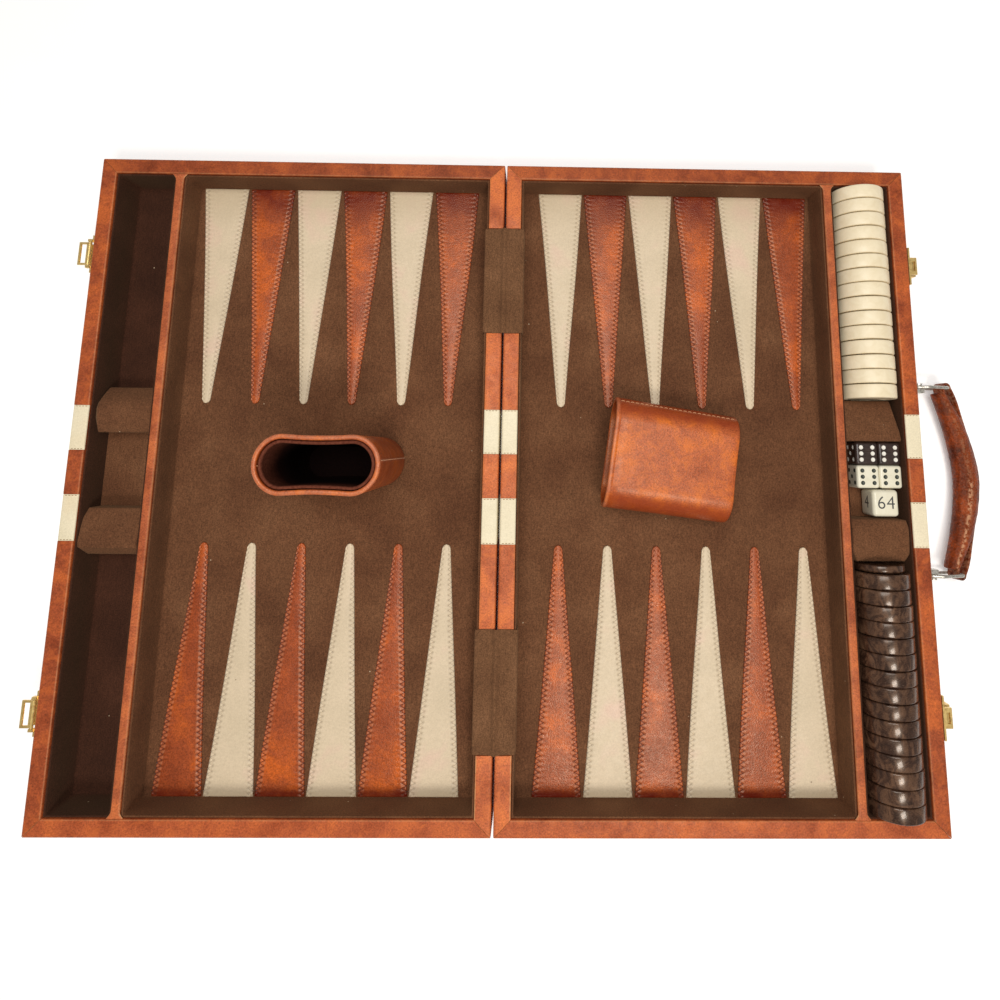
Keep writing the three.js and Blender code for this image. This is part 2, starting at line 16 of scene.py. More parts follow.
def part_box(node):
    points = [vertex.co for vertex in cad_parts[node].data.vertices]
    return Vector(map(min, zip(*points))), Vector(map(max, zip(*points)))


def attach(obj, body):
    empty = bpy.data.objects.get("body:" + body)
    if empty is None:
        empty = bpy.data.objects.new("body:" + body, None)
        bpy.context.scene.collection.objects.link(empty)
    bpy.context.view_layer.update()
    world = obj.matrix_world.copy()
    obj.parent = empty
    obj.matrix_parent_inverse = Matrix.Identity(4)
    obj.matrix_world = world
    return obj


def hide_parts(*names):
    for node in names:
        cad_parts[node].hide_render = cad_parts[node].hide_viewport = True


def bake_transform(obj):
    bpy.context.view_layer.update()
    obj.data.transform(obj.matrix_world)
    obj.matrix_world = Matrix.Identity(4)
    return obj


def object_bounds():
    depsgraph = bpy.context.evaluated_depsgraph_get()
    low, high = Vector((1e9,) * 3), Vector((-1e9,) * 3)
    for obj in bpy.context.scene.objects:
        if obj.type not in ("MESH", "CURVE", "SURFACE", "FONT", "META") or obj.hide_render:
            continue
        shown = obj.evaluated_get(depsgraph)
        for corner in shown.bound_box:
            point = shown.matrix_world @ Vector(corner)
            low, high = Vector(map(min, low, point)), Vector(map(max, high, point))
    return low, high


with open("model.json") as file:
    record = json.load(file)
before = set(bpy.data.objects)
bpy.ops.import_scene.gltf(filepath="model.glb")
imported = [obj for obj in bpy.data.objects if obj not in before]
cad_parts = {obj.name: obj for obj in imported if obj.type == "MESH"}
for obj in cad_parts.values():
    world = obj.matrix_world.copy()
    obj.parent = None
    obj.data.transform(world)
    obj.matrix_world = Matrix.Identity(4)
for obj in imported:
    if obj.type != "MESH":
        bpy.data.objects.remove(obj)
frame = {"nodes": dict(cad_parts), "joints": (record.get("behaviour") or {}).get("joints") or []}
CAD_BOX = [list(corner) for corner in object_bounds()]
NODES = frame["nodes"]
MM = 0.001
SIDES = {"right": 1, "left": -1}
ENDS = {"far": 1, "near": -1}


# ---------------------------------------------------------------- sizes, read from the frame
def low(node):
    """A node's lowest corner, in case millimetres."""
    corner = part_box(node)[0] / MM
    return Vector((corner.x - FOLD_X, corner.y, corner.z))


def high(node):
    """A node's highest corner, in case millimetres."""
    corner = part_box(node)[1] / MM
    return Vector((corner.x - FOLD_X, corner.y, corner.z))


def centre_of(node):
    """The middle of a node's box, in case millimetres."""
    return (low(node) + high(node)) / 2


FIT = 0.3  # clearance between a lining, stripe or divider and what holds it
FELT = 1.2  # thickness of the felt linings
FOLD_X = (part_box("left_rail_inner")[1].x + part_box("right_rail_inner")[0].x) / 2 / MM
HALF_WIDTH = high("right_rail_outer").x
HALF_LENGTH = high("right_rail_far").y
RIM_Z = high("right_rail_outer").z
FOLD_GAP = low("right_rail_inner").x
RIM = high("right_rail_inner").x - FOLD_GAP
FRAME_IN = HALF_LENGTH - RIM
TRAY_OUT = HALF_WIDTH - RIM
DIVIDER_IN = high("right_field_lining").x + FIT
DIVIDER_OUT = low("right_tray_lining").x - FIT
LINING_Z = high("right_field_lining").z
FIELD_IN = low("right_field_lining").x
FIELD_OUT = high("right_field_lining").x
TRAY_LINING_IN = low("right_tray_lining").x
TRAY_LINING_OUT = high("right_tray_lining").x
STRIPE_IN = low("right_stripe_far").y - FIT
STRIPE_OUT = high("right_stripe_far").y + FIT
BAND_IN = low("band_far").y
BAND_OUT = high("band_far").y
POINT_FOOT = high("right_points_far").y
POINT_Z = low("right_points_far").z
POINT_TOP = high("right_points_far").z
FIELD_FLOOR = POINT_Z - FIT
TRAY_FLOOR = low("right_dice_well").z - FIT


# ---------------------------------------------------------------- materials
def srgb(red, green, blue):
    """Linear colour for a 0-255 display colour."""
    return tuple(
        (c / 255 / 12.92) if c <= 10.3 else ((c / 255 + 0.055) / 1.055) ** 2.4 for c in (red, green, blue)
    ) + (1,)


def shade(colour):
    """What a colour socket takes for a grey number or a 0-255 display colour; a socket is passed on."""
    if isinstance(colour, tuple):
        return srgb(*colour)
    return (colour, colour, colour, 1) if isinstance(colour, (int, float)) else colour


class Look:
    """A Principled material, and short ways of adding nodes to it."""

    def __init__(self, name, rough=0.5, metal=0.0, specular=0.5, sheen=0.0, coat=0.0, glint=(1, 1, 1, 1)):
        self.material = bpy.data.materials.new(name)
        self.material.use_nodes = True
        tree = self.material.node_tree
        self.nodes, self.links = tree.nodes, tree.links
        self.shader = self.nodes["Principled BSDF"]
        self.place = self.add("ShaderNodeTexCoord").outputs["Object"]
        settings = {"Roughness": rough, "Metallic": metal, "Specular IOR Level": specular,
                    "Specular Tint": glint, "Sheen Weight": sheen, "Sheen Roughness": 0.5,
                    "Coat Weight": coat, "Coat Roughness": 0.2}
        for socket, value in settings.items():
            self.set(socket, value)

    def feed(self, node, socket, value):
        """Gives a node's input a value or another node's output."""
        if isinstance(value, bpy.types.NodeSocket):
            self.links.new(value, node.inputs[socket])
        else:
            node.inputs[socket].default_value = value

    def set(self, socket, value):
        """Feeds the shader itself."""
        self.feed(self.shader, socket, value)

    def add(self, kind, inputs=None, **settings):
        """A new node with its settings, then its inputs."""
        node = self.nodes.new(kind)
        for key, value in settings.items():
            setattr(node, key, value)
        for socket, value in (inputs or {}).items():
            self.feed(node, socket, value)
        return node

    def moved(self, **change):
        """Object coordinates with a Location or a Scale."""
        return self.add("ShaderNodeMapping", {"Vector": self.place, **change}).outputs["Vector"]

    def noise(self, size_mm, detail=3.0, rough=0.55, distortion=0.0, where=None):
        """Noise from 0 to 1 whose features are about size_mm across."""
        inputs = {"Vector": where or self.place, "Scale": 1 / (size_mm * MM), "Detail": detail,
                  "Roughness": rough, "Distortion": distortion}
        return self.add("ShaderNodeTexNoise", inputs).outputs["Fac"]

    def cells(self, size_mm, output="Distance"):
        """Voronoi cells about size_mm across."""
        inputs = {"Vector": self.place, "Scale": 1 / (size_mm * MM)}
        return self.add("ShaderNodeTexVoronoi", inputs).outputs[output]

    def ramp(self, value, *stops):
        """A value through colour stops, each (position, colour or grey)."""
        node = self.add("ShaderNodeValToRGB", {"Fac": value})
        points = node.color_ramp.elements
        while len(points) < len(stops):
            points.new(0.5)
        for point, (position, colour) in zip(points, stops):
            point.position = position
            point.color = shade(colour)
        return node.outputs["Color"]

    def span(self, value, start, stop):
        """The middle range of a texture, 0.3 to 0.7, turned to run from start to stop."""
        return self.ramp(value, (0.3, start), (0.7, stop))

    def math(self, operation, a, b):
        """Two values put together."""
        return self.add("ShaderNodeMath", {0: a, 1: b}, operation=operation).outputs["Value"]

    def mix(self, share, a, b, way="MIX"):
        """Colour a turned towards colour b by a share."""
        inputs = {"Factor": share, 6: shade(a), 7: shade(b)}
        return self.add("ShaderNodeMix", inputs, data_type="RGBA", blend_type=way).outputs[2]

    def attribute(self, name):
        """A number that make() stored at each vertex."""
        return self.add("ShaderNodeAttribute", attribute_name=name).outputs["Fac"]

    def marked(self, name, amount, colour, tint):
        """A colour turned towards tint by an amount, where the named vertex number is high."""
        return self.mix(self.math("MULTIPLY", self.attribute(name), amount), colour, tint)

    def red(self, colour):
        """The red channel of a colour."""
        return self.add("ShaderNodeSeparateColor", {"Color": colour}).outputs["Red"]

    def bump(self, height, strength=0.4, depth_mm=0.2):
        """Relief depth_mm deep."""
        inputs = {"Height": height, "Strength": strength, "Distance": depth_mm * MM}
        self.set("Normal", self.add("ShaderNodeBump", inputs).outputs["Normal"])


WAXED = srgb(255, 232, 210)  # the warm glint of waxed leather
WOOL = srgb(196, 160, 120)  # the sheen of brown felt


def leatherette(name, dark, body, light, seed_mm=0.0, rough=(0.4, 0.56), spread=26.0, shine=0.34,
                painted_end_shade=False, worn_and_lit=(216, 158, 108)):
    """Mottled two-tone leather cloth: soft clouds, fine speckle, pressed grain, edges paled by rubbing and
    painted highlight.
    """
    look = Look(name, specular=shine, glint=WAXED)
    where = look.moved(Location=(seed_mm * MM, 0.7 * seed_mm * MM, 0.3 * seed_mm * MM))
    clouds = look.noise(spread, 4.0, 0.62, 0.4, where)
    colour = look.ramp(clouds, (0.3, dark), (0.5, body), (0.7, light))
    speckle = look.noise(1.15, 3.0, 0.8, 0.0, where)
    colour = look.mix(0.85, colour, look.span(speckle, 0.45, 1.5), "MULTIPLY")
    blush = look.ramp(look.noise(9.0, 4.0, 0.7, 0.6, where), (0.5, 0.0), (0.7, 0.7))
    colour = look.mix(blush, colour, light)
    # Where asked, painted shade darkens the rounded ends of a cup.
    if painted_end_shade:
        colour = look.mix(look.attribute("painted_end_shade"), colour, (146, 52, 20))
    # Pale edges where the vertex number asks: partly rubbing, partly painted highlight on rounded edges.
    colour = look.marked("wear_and_sheen", look.ramp(look.noise(4.0), (0.3, 0.35), (0.6, 1.0)), colour, worn_and_lit)
    look.set("Base Color", colour)
    look.set("Roughness", look.span(look.noise(5.0, 2.0), *rough))
    look.bump(look.math("ADD", look.cells(0.9), look.math("MULTIPLY", look.noise(0.5, 2.0), 0.5)), 0.35, 0.16)
    return look.material


def appliques(name, dark, body, light, base):
    """Leather of a stitched point: painted shade at its foot and in the stitch holes, painted highlight on
    its puffs.
    """
    look = Look(name, specular=0.5, glint=WAXED)
    colour = look.ramp(look.noise(24.0, 3.0, 0.6, 0.3), (0.3, dark), (0.5, body), (0.68, light))
    colour = look.mix(0.85, colour, look.span(look.noise(1.1, 3.0, 0.8), 0.45, 1.5), "MULTIPLY")
    # Painted highlight on the leather puffed up between the stitches.
    colour = look.marked("puff", 0.42, colour, (208, 134, 96))
    # Painted shade at the foot, where the wall keeps the light off.
    colour = look.marked("foot", look.ramp(look.noise(14.0), (0.3, 0.5), (0.62, 1.0)), colour, base)
    # Painted shade in the stitch holes.
    look.set("Base Color", look.marked("hole", 0.75, colour, (84, 40, 22)))
    look.set("Roughness", look.span(look.noise(4.0, 2.0), 0.28, 0.4))
    look.bump(look.math("ADD", look.cells(1.1), look.noise(0.8, 2.0)), 0.45, 0.2)
    return look.material


def cream_leather(name, body, tint, warm, speck=True, holes=False):
    """Smooth cream leather, with a little dirt or, where asked, painted shade in the stitch holes and at the
    foot.
    """
    look = Look(name, rough=0.5, specular=0.35)
    colour = look.ramp(look.noise(30.0, 3.0, 0.5, 0.3), (0.32, body), (0.55, tint), (0.72, warm))
    colour = look.mix(0.8, colour, look.span(look.noise(1.1, 3.0, 0.8), 0.84, 1.1), "MULTIPLY")
    if speck:
        dirt = look.ramp(look.cells(24.0), (0.0, 1.0), (0.022, 1.0), (0.034, 0.0))
        colour = look.mix(look.math("MULTIPLY", dirt, 0.6), colour, (110, 82, 60))
    if holes:
        # Painted shade in the stitch holes.
        colour = look.marked("hole", 0.5, colour, (120, 108, 88))
        # Painted shade at the foot.
        colour = look.marked("foot", 0.35, colour, (184, 164, 130))
    look.set("Base Color", colour)
    look.set("Roughness", look.span(look.noise(5.0, 2.0), 0.42, 0.56))
    look.bump(look.math("ADD", look.cells(0.8), look.noise(0.45, 2.0)), 0.22, 0.12)
    return look.material


def felt(name, dark, body, light):
    """Napped felt: short fibres, faint rubbed patches and a little lint."""
    look = Look(name, rough=0.95, specular=0.15, sheen=0.22)
    look.set("Sheen Tint", WOOL)
    patches = look.ramp(look.noise(38.0, 3.0, 0.5, 0.3), (0.3, dark), (0.52, body), (0.72, light))
    fibres = look.noise(0.85, 2.0, 0.8)
    colour = look.mix(0.85, patches, look.span(fibres, 0.5, 1.5), "MULTIPLY")
    thread = look.noise(1.1, 2.0, 0.6, 0.0, look.moved(Scale=(1.0, 0.3, 1.0)))
    colour = look.mix(0.5, colour, look.span(thread, 0.68, 1.32), "MULTIPLY")
    chosen = look.ramp(look.red(look.cells(13.0, "Color")), (0.62, 0.0), (0.64, 1.0))
    lint = look.ramp(look.cells(13.0), (0.0, 1.0), (0.022, 1.0), (0.042, 0.0))
    look.set("Base Color", look.mix(look.math("MULTIPLY", lint, chosen), colour, (190, 168, 140)))
    look.bump(look.math("ADD", fibres, thread), 0.7, 0.25)
    return look.material


def metal(name, body, tarnish, rough):
    """Brushed metal with tarnished patches."""
    look = Look(name, rough=rough, metal=0.7)
    stain = look.ramp(look.noise(3.0, 4.0, 0.6, 0.4), (0.42, 0.0), (0.7, 0.7))
    look.set("Base Color", look.mix(stain, body, tarnish))
    look.set("Roughness", look.span(look.noise(1.4, 3.0), rough, rough + 0.16))
    look.bump(look.noise(0.35, 2.0, 0.5, 0.0, look.moved(Scale=(1.0, 0.12, 1.0))), 0.12, 0.05)
    return look.material


def plastic(name, body, cloud, rough=0.3, grain=0.04):
    """Cast plastic with faint clouds and hairline handling marks."""
    look = Look(name, rough=rough, specular=0.45, coat=0.08)
    clouds = look.ramp(look.noise(7.0, 4.0, 0.55, 0.8), (0.35, 0.0), (0.7, 1.0))
    look.set("Base Color", look.mix(clouds, body, cloud))
    marks = look.noise(0.6, 3.0, 0.6, 0.0, look.moved(Scale=(0.18, 1.0, 0.5)))
    look.set("Roughness", look.ramp(marks, (0.35, rough), (0.7, rough + 0.14)))
    look.bump(marks, 0.12, grain)
    return look.material


def marbled():
    """Brown-black cast resin with paler swirls, polished."""
    look = Look("checker_dark_resin", specular=0.45, coat=0.35, glint=WAXED)
    look.set("Coat Roughness", 0.12)
    drift = look.noise(16.0, 3.0, 0.5, 0.0)
    swirl = look.noise(6.5, 5.0, 0.65, 1.6, look.moved(Scale=(1.0, 0.55, 1.0)))
    colour = look.ramp(swirl, (0.28, (34, 20, 14)), (0.45, (62, 40, 29)), (0.6, (106, 76, 56)),
                       (0.74, (62, 40, 28)))
    colour = look.mix(look.ramp(drift, (0.4, 0.0), (0.7, 0.6)), colour, (44, 27, 20))
    fleck = look.noise(0.7, 2.0, 0.6, 0.0, look.moved(Scale=(0.5, 1.0, 1.0)))
    look.set("Base Color", look.mix(look.ramp(fleck, (0.62, 0.0), (0.76, 0.45)), colour, (124, 98, 80)))
    look.set("Roughness", look.span(fleck, 0.2, 0.36))
    look.bump(look.noise(2.4, 3.0, 0.6), 0.2, 0.06)
    return look.material


def thread_look(name, body, twist_shade):
    """Twisted sewing thread."""
    look = Look(name, rough=0.75, specular=0.3, sheen=0.2)
    twist = look.add("ShaderNodeTexWave", {"Vector": look.place, "Scale": 900.0, "Distortion": 2.0},
                     wave_type="BANDS", bands_direction="DIAGONAL").outputs["Fac"]
    look.set("Base Color", look.mix(twist, body, twist_shade))
    look.bump(twist, 0.5, 0.08)
    return look.material


def cup_liner():
    """Matt suede cloth: mauve brown at the mouth, and painted shade making it nearly black further in."""
    look = Look("cup_liner", rough=0.85, specular=0.08)
    nap = look.noise(1.6, 3.0, 0.7)
    mouth, inside = look.span(nap, (84, 40, 28), (118, 66, 48)), look.span(nap, (14, 4, 3), (24, 8, 5))
    # Painted shade: the cloth turns nearly black deeper inside the cup.
    look.set("Base Color", look.mix(look.attribute("deep"), mouth, inside))
    look.bump(nap, 0.3, 0.2)
    return look.material


def handle_hide():
    """The grip's hide: darker, waxed by hands, with painted highlight along its crown and rubbed in spots
    beside it.
    """
    look = Look("handle_hide", specular=0.28, glint=WAXED)
    clouds = look.noise(13.0, 4.0, 0.65, 0.5)
    colour = look.ramp(clouds, (0.34, (78, 24, 6)), (0.5, (114, 44, 14)), (0.66, (148, 62, 20)))
    # Painted highlight along the top of the grip.
    colour = look.marked("crown", 0.6, colour, (158, 74, 32))
    grain = look.noise(1.3, 4.0, 0.75, 0.3)
    colour = look.mix(0.9, colour, look.span(grain, 0.4, 1.5), "MULTIPLY")
    spots = look.ramp(look.noise(2.4, 3.0), (0.46, 0.0), (0.54, 1.0))
    look.set("Base Color", look.marked("wear_and_sheen", spots, colour, (226, 172, 132)))
    look.set("Roughness", look.span(grain, 0.26, 0.46))
    look.bump(look.math("ADD", look.cells(2.0), grain), 0.8, 0.5)
    return look.material


LEATHER = leatherette("case_leatherette", (128, 54, 28), (160, 76, 42), (196, 98, 46))
# A little lighter than the case leather: partly its own tone, partly painted sheen.
LEATHER_DIVIDER = leatherette("divider_leatherette", (144, 68, 38), (176, 92, 56), (206, 112, 62), 17.0)
LEATHER_NEAR = leatherette("near_leatherette", (146, 64, 32), (176, 86, 48), (206, 106, 52), 63.0)
LEATHER_FAR = leatherette("far_leatherette", (118, 50, 24), (150, 70, 38), (184, 92, 44), 90.0)
# Lighter copy of the leather for the rails by the fold: painted sheen of the light overhead.
LEATHER_FOLD_SHEEN = leatherette("fold_leatherette_sheen", (158, 74, 40), (190, 98, 58), (220, 118, 60), 40.0)
CUP_LEATHER = leatherette("cup_leatherette", (158, 74, 38), (182, 92, 50), (214, 110, 38), 31.0,
                          (0.3, 0.42), 18.0, shine=0.45, painted_end_shade=True, worn_and_lit=(208, 142, 112))
STRIPE = cream_leather("stripe_leather", (231, 218, 186), (238, 225, 194), (236, 217, 181), speck=False)
POINT_CREAM = cream_leather("point_leather_cream", (213, 194, 164), (220, 200, 170),
                            (225, 195, 171), holes=True)
# The last colour is the painted shade at each point's foot.
POINT_COGNAC = appliques("point_leather_cognac", (140, 62, 30), (160, 74, 36), (196, 92, 32),
                         (104, 26, 10))
FELT_BROWN = felt("brown_felt", (92, 58, 38), (104, 68, 45), (114, 77, 52))
# Darker felt for the deep trays: partly a darker felt, partly painted shade.
FELT_TRAY_SHADED = felt("tray_felt", (54, 30, 20), (63, 36, 24), (72, 42, 29))
FELT_BAND = felt("band_felt", (98, 66, 44), (110, 76, 51), (120, 84, 58))
BRASS = metal("brass", (240, 208, 136), (196, 152, 84), 0.26)
NICKEL = metal("nickel", (208, 205, 196), (140, 130, 114), 0.22)
LINER = cup_liner()
HIDE = handle_hide()
LIGHT_PLASTIC = plastic("checker_light", (243, 228, 196), (234, 217, 182), 0.42, 0.08)
DARK_RESIN = marbled()
IVORY = plastic("die_ivory", (234, 228, 206), (226, 219, 194), 0.24)
EBONY = plastic("die_ebony", (46, 34, 30), (62, 47, 41), 0.24)
PIP_WHITE = plastic("pip_white", (236, 232, 222), (224, 218, 206), 0.4)
PIP_DARK = plastic("pip_dark", (44, 50, 42), (58, 62, 52), 0.4)
INK = plastic("cube_ink", (62, 62, 62), (78, 78, 76), 0.45)
THREAD_BROWN = thread_look("thread_brown", (112, 52, 30), (80, 34, 20))
THREAD_GREY = thread_look("thread_grey", (206, 188, 164), (186, 168, 146))
THREAD_GOLD = thread_look("thread_gold", (158, 116, 62), (118, 80, 42))
THREAD_TAN = thread_look("thread_tan", (218, 160, 116), (188, 124, 80))


# ---------------------------------------------------------------- mesh helpers
def make(name, shape, look, body, stands_for=(), marks=None, smooth=35.0):
    """A mesh piece from a (points, faces) shape. marks are named vertex numbers, read by the materials."""
    vertices, faces = shape
    mesh = bpy.data.meshes.new(name)
    mesh.from_pydata([((x + FOLD_X) * MM, y * MM, z * MM) for x, y, z in vertices], [], faces)
    for key, values in (marks or {}).items():
        mesh.attributes.new(key, "FLOAT", "POINT").data.foreach_set("value", values)
    mesh.materials.append(look)
    mesh.validate()
    piece = bpy.data.objects.new(name, mesh)
    bpy.context.scene.collection.objects.link(piece)
    mend(mesh, smooth)
    if body:
        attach(piece, body)
    if stands_for:
        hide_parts(*stands_for)
    return piece


def mend(mesh, smooth):
    """Faces turned outwards, and smooth shading except across creases sharper than smooth degrees."""
    work = bmesh.new()
    work.from_mesh(mesh)
    bmesh.ops.recalc_face_normals(work, faces=work.faces)
    limit = math.radians(smooth)
    for face in work.faces:
        face.smooth = True
    for edge in work.edges:
        edge.smooth = len(edge.link_faces) == 2 and edge.calc_face_angle(0) < limit
    work.to_mesh(mesh)
    work.free()


def skin(rings, closed_ring=True, closed_path=False, capped=True):
    """Points and faces of a surface through rings of equal count."""
    count = len(rings[0])
    points = [p for ring in rings for p in ring]
    faces = []
    turns = len(rings) if closed_path else len(rings) - 1
    sides = count if closed_ring else count - 1
    for i in range(turns):
        for j in range(sides):
            a, b = i * count + j, i * count + (j + 1) % count
            c = (i + 1) % len(rings) * count
            faces.append((a, b, c + (j + 1) % count, c + j))
    if capped and not closed_path and closed_ring:
        faces.append(tuple(range(count)))
        faces.append(tuple((len(rings) - 1) * count + j for j in range(count)))
    return points, faces


def arc(cx, cy, radius, start, end, steps):
    """Points of an arc, its angles in degrees."""
    turn = [math.radians(start + (end - start) * i / steps) for i in range(steps + 1)]
    return [(cx + radius * math.cos(t), cy + radius * math.sin(t)) for t in turn]


def tube(path, radius, sides=8, closed=False):
    """A round tube along a path of points."""
    rings = []
    path = [Vector(p) for p in path]
    count = len(path)
    side = None
    for i, point in enumerate(path):
        after = path[(i + 1) % count] if closed or i + 1 < count else point
        before = path[i - 1] if closed or i > 0 else point
        along = (after - before).normalized()
        if side is None:
            side = along.orthogonal().normalized()
        side = (side - along * side.dot(along)).normalized()
        up = along.cross(side)
        ring = [(side * math.cos(t) + up * math.sin(t)) * radius + point
                for t in (2 * math.pi * j / sides for j in range(sides))]
        rings.append([tuple(p) for p in ring])
    return skin(rings, closed_path=closed)


def joined(*parts):
    """Several (points, faces) as one."""
    points, faces = [], []
    for part_points, part_faces in parts:
        start = len(points)
        points += part_points
        faces += [tuple(start + v for v in face) for face in part_faces]
    return points, faces


def soften(node, look, width_mm=0.35, segments=2):
    """A carried CAD node: its finished material, and eased edges."""
    piece = NODES[node]
    piece.data.materials.clear()
    piece.data.materials.append(look)
    for face in piece.data.polygons:
        face.material_index = 0
    ease = piece.modifiers.new("ease", "BEVEL")
    ease.width = width_mm * MM
    ease.segments = segments
    ease.limit_method = "ANGLE"
    ease.angle_limit = math.radians(32)
    ease.harden_normals = True
    return piece


def facing(right, up, back, spot):
    """A world matrix from its three directions and its place."""
    return Matrix(((right.x, up.x, back.x, spot.x), (right.y, up.y, back.y, spot.y),
                   (right.z, up.z, back.z, spot.z), (0, 0, 0, 1)))


def step_smooth(x, start, end):
    """0 before start, 1 after end, and smooth in between."""
    t = min(1.0, max(0.0, (x - start) / (end - start)))
    return t * t * (3 - 2 * t)


# ---------------------------------------------------------------- case rails
def rail_section():
    """Rail outline as (across from its outer face, height, edge), with eased and slightly crowned top."""
    top = RIM_Z
    outline = [(x, z, 0.0) for x, z in arc(1.0, 1.0, 1.0, 270, 180, 3)]
    outline += [(0.0, z, 0.0) for z in (6, 12, 18, 24, 29)]
    shoulder = arc(1.5, top - 1.5, 1.5, 180, 90, 5)
    # The edge number marks the rounded shoulder and lip, painted paler: painted highlight as well as rubbing.
    outline += [(x, z, 0.9 if 1 < i < 5 else 0.0) for i, (x, z) in enumerate(shoulder)]
    outline += [(x, top, 0.0) for x in (2.6, 4.2, 5.8, 7.4, 9.0)]
    lip = arc(RIM - 1.0, top - 1.0, 1.0, 90, 0, 4)
    outline += [(x, z, 1.0 if i in (1, 2) else 0.0) for i, (x, z) in enumerate(lip)]
    outline += [(RIM, z, 0.0) for z in (28, 16, 1)]
    return outline


SECTION = rail_section()
GROOVE = 0.95
REBATE_Z = low("hinge_far_leaf_left").z - FIT
MITRE_GAP = 0.12  # half the open line between two rails
MITRE_SINK = 0.22


def rail_stations(reach, channels, rebates):
    """Cuts along a rail as (end, place, sunk, cut down), placed in from a mitred end, or from the middle."""
    stations = [(end, d, 0.0, False) for end in (-1, 1) for d in (0.0, 0.25, 0.6, 2.0)]
    plain = [v for v in range(-200, 201, 10) if all(not a - 1 < v < b + 1 for a, b in [*channels, *rebates])]
    stations += [(0, v, 0.0, False) for v in plain if abs(v) < reach - RIM - 4]
    for side, edge in [(side, pair[side > 0]) for pair in channels for side in (-1, 1)]:
        stations += [(0, edge + side * 0.25, 0.0, False), (0, edge, 0.2, False),
                     (0, edge - side * 0.05, GROOVE, False)]
    for side, edge in [(side, pair[side > 0]) for pair in rebates for side in (-1, 1)]:
        stations += [(0, edge + side * 0.3, 0.0, False), (0, edge + side * 0.02, 0.12, False),
                     (0, edge, 0.0, True)]
    return sorted(stations, key=lambda s: s[0] * (reach - s[1]) if s[0] else s[1])


def rail(name, place, reach, body, worn_and_lit, channels=(), rebates=(), look=LEATHER):
    """One leather-covered rail: mitred ends at plus and minus reach, belt channels and hinge rebates between.

    place(u, v, z) puts a point that is u in from the outer face and v along the rail. The fifth argument,
    called with (v, edge, mitre), is how pale an edge's colour is painted there: partly rubbing, partly
    painted highlight.
    """
    rings, wear_and_sheen = [], []
    for end, d, sink, cut in rail_stations(reach, channels, rebates):
        mitre = end and d < 0.25
        deep = sink + (MITRE_SINK if mitre else 0.0)
        ring = []
        for u, z, edge in SECTION:
            if z > RIM_Z - 1 and u < RIM - 0.01:
                z -= deep
            u2 = u + deep if u < 0.5 else u
            z = min(z, REBATE_Z) if cut else z
            v = end * (reach - u2 - MITRE_GAP - d) if end else d
            ring.append(place(u2, v, max(z, deep if z < 0.5 else 0)))
            # How pale each point is painted: rubbing at the mitres and by the near hinge, painted highlight
            # on rounded edges.
            wear_and_sheen.append(worn_and_lit(v, edge, mitre) * (1.0 if mitre and z > RIM_Z - 2 else edge))
        rings.append(ring)
    make(name, skin(rings), look, body, [name.replace("cover_", "")], {"wear_and_sheen": wear_and_sheen})


def outer_wear_and_sheen(v, edge, mitre):
    """Rubbing and painted edge highlight of an outer rail: rubbing most at the near mitre."""
    if mitre:
        return 1.0 if v < 0 else 0.45
    return 0.28 if edge == 1.0 else 0.12


def inner_wear_and_sheen(v, edge, mitre):
    """Rubbing and painted edge highlight of an inner rail: both mitres, and the lip on the player's side of
    the near hinge.
    """
    if mitre:
        return 1.0
    if v < -BAND_OUT:
        return 0.95 if edge == 1.0 else 0.1
    return 0.28 if edge == 1.0 else 0.12


def end_wear_and_sheen(v, edge, mitre):
    """Rubbing and painted edge highlight of a far or near rail."""
    return 0.8 if mitre else (0.3 if edge == 1.0 else 0.1)


def build_rails():
    """Four covered rails round each half."""
    belts = [(STRIPE_IN, STRIPE_OUT), (-STRIPE_OUT, -STRIPE_IN)]
    hinges = [(BAND_IN - FIT, BAND_OUT + FIT), (-BAND_OUT - FIT, -BAND_IN + FIT)]
    middle = (FOLD_GAP + HALF_WIDTH) / 2
    for label, side in SIDES.items():
        body = f"{label}_half"
        rail(f"cover_{label}_rail_outer", lambda u, v, z: (side * (HALF_WIDTH - u), v, z), HALF_LENGTH, body,
             outer_wear_and_sheen, belts)
        rail(f"cover_{label}_rail_inner", lambda u, v, z: (side * (FOLD_GAP + u), v, z), HALF_LENGTH, body,
             inner_wear_and_sheen, belts, hinges, LEATHER_FOLD_SHEEN)
        for end, far in ENDS.items():
            rail(f"cover_{label}_rail_{end}",
                 lambda u, v, z: (side * (middle + v), far * (HALF_LENGTH - u), z),
                 (HALF_WIDTH - FOLD_GAP) / 2, body, end_wear_and_sheen, look=LEATHER_FAR if far > 0 else LEATHER_NEAR)


# ---------------------------------------------------------------- belt stripes
BELT_SUNK = 0.12  # how far a belt's face lies below the leather round it
BELT_THICK = 0.7
BELT_IN = STRIPE_IN + 0.1
BELT_OUT = STRIPE_OUT - 0.1


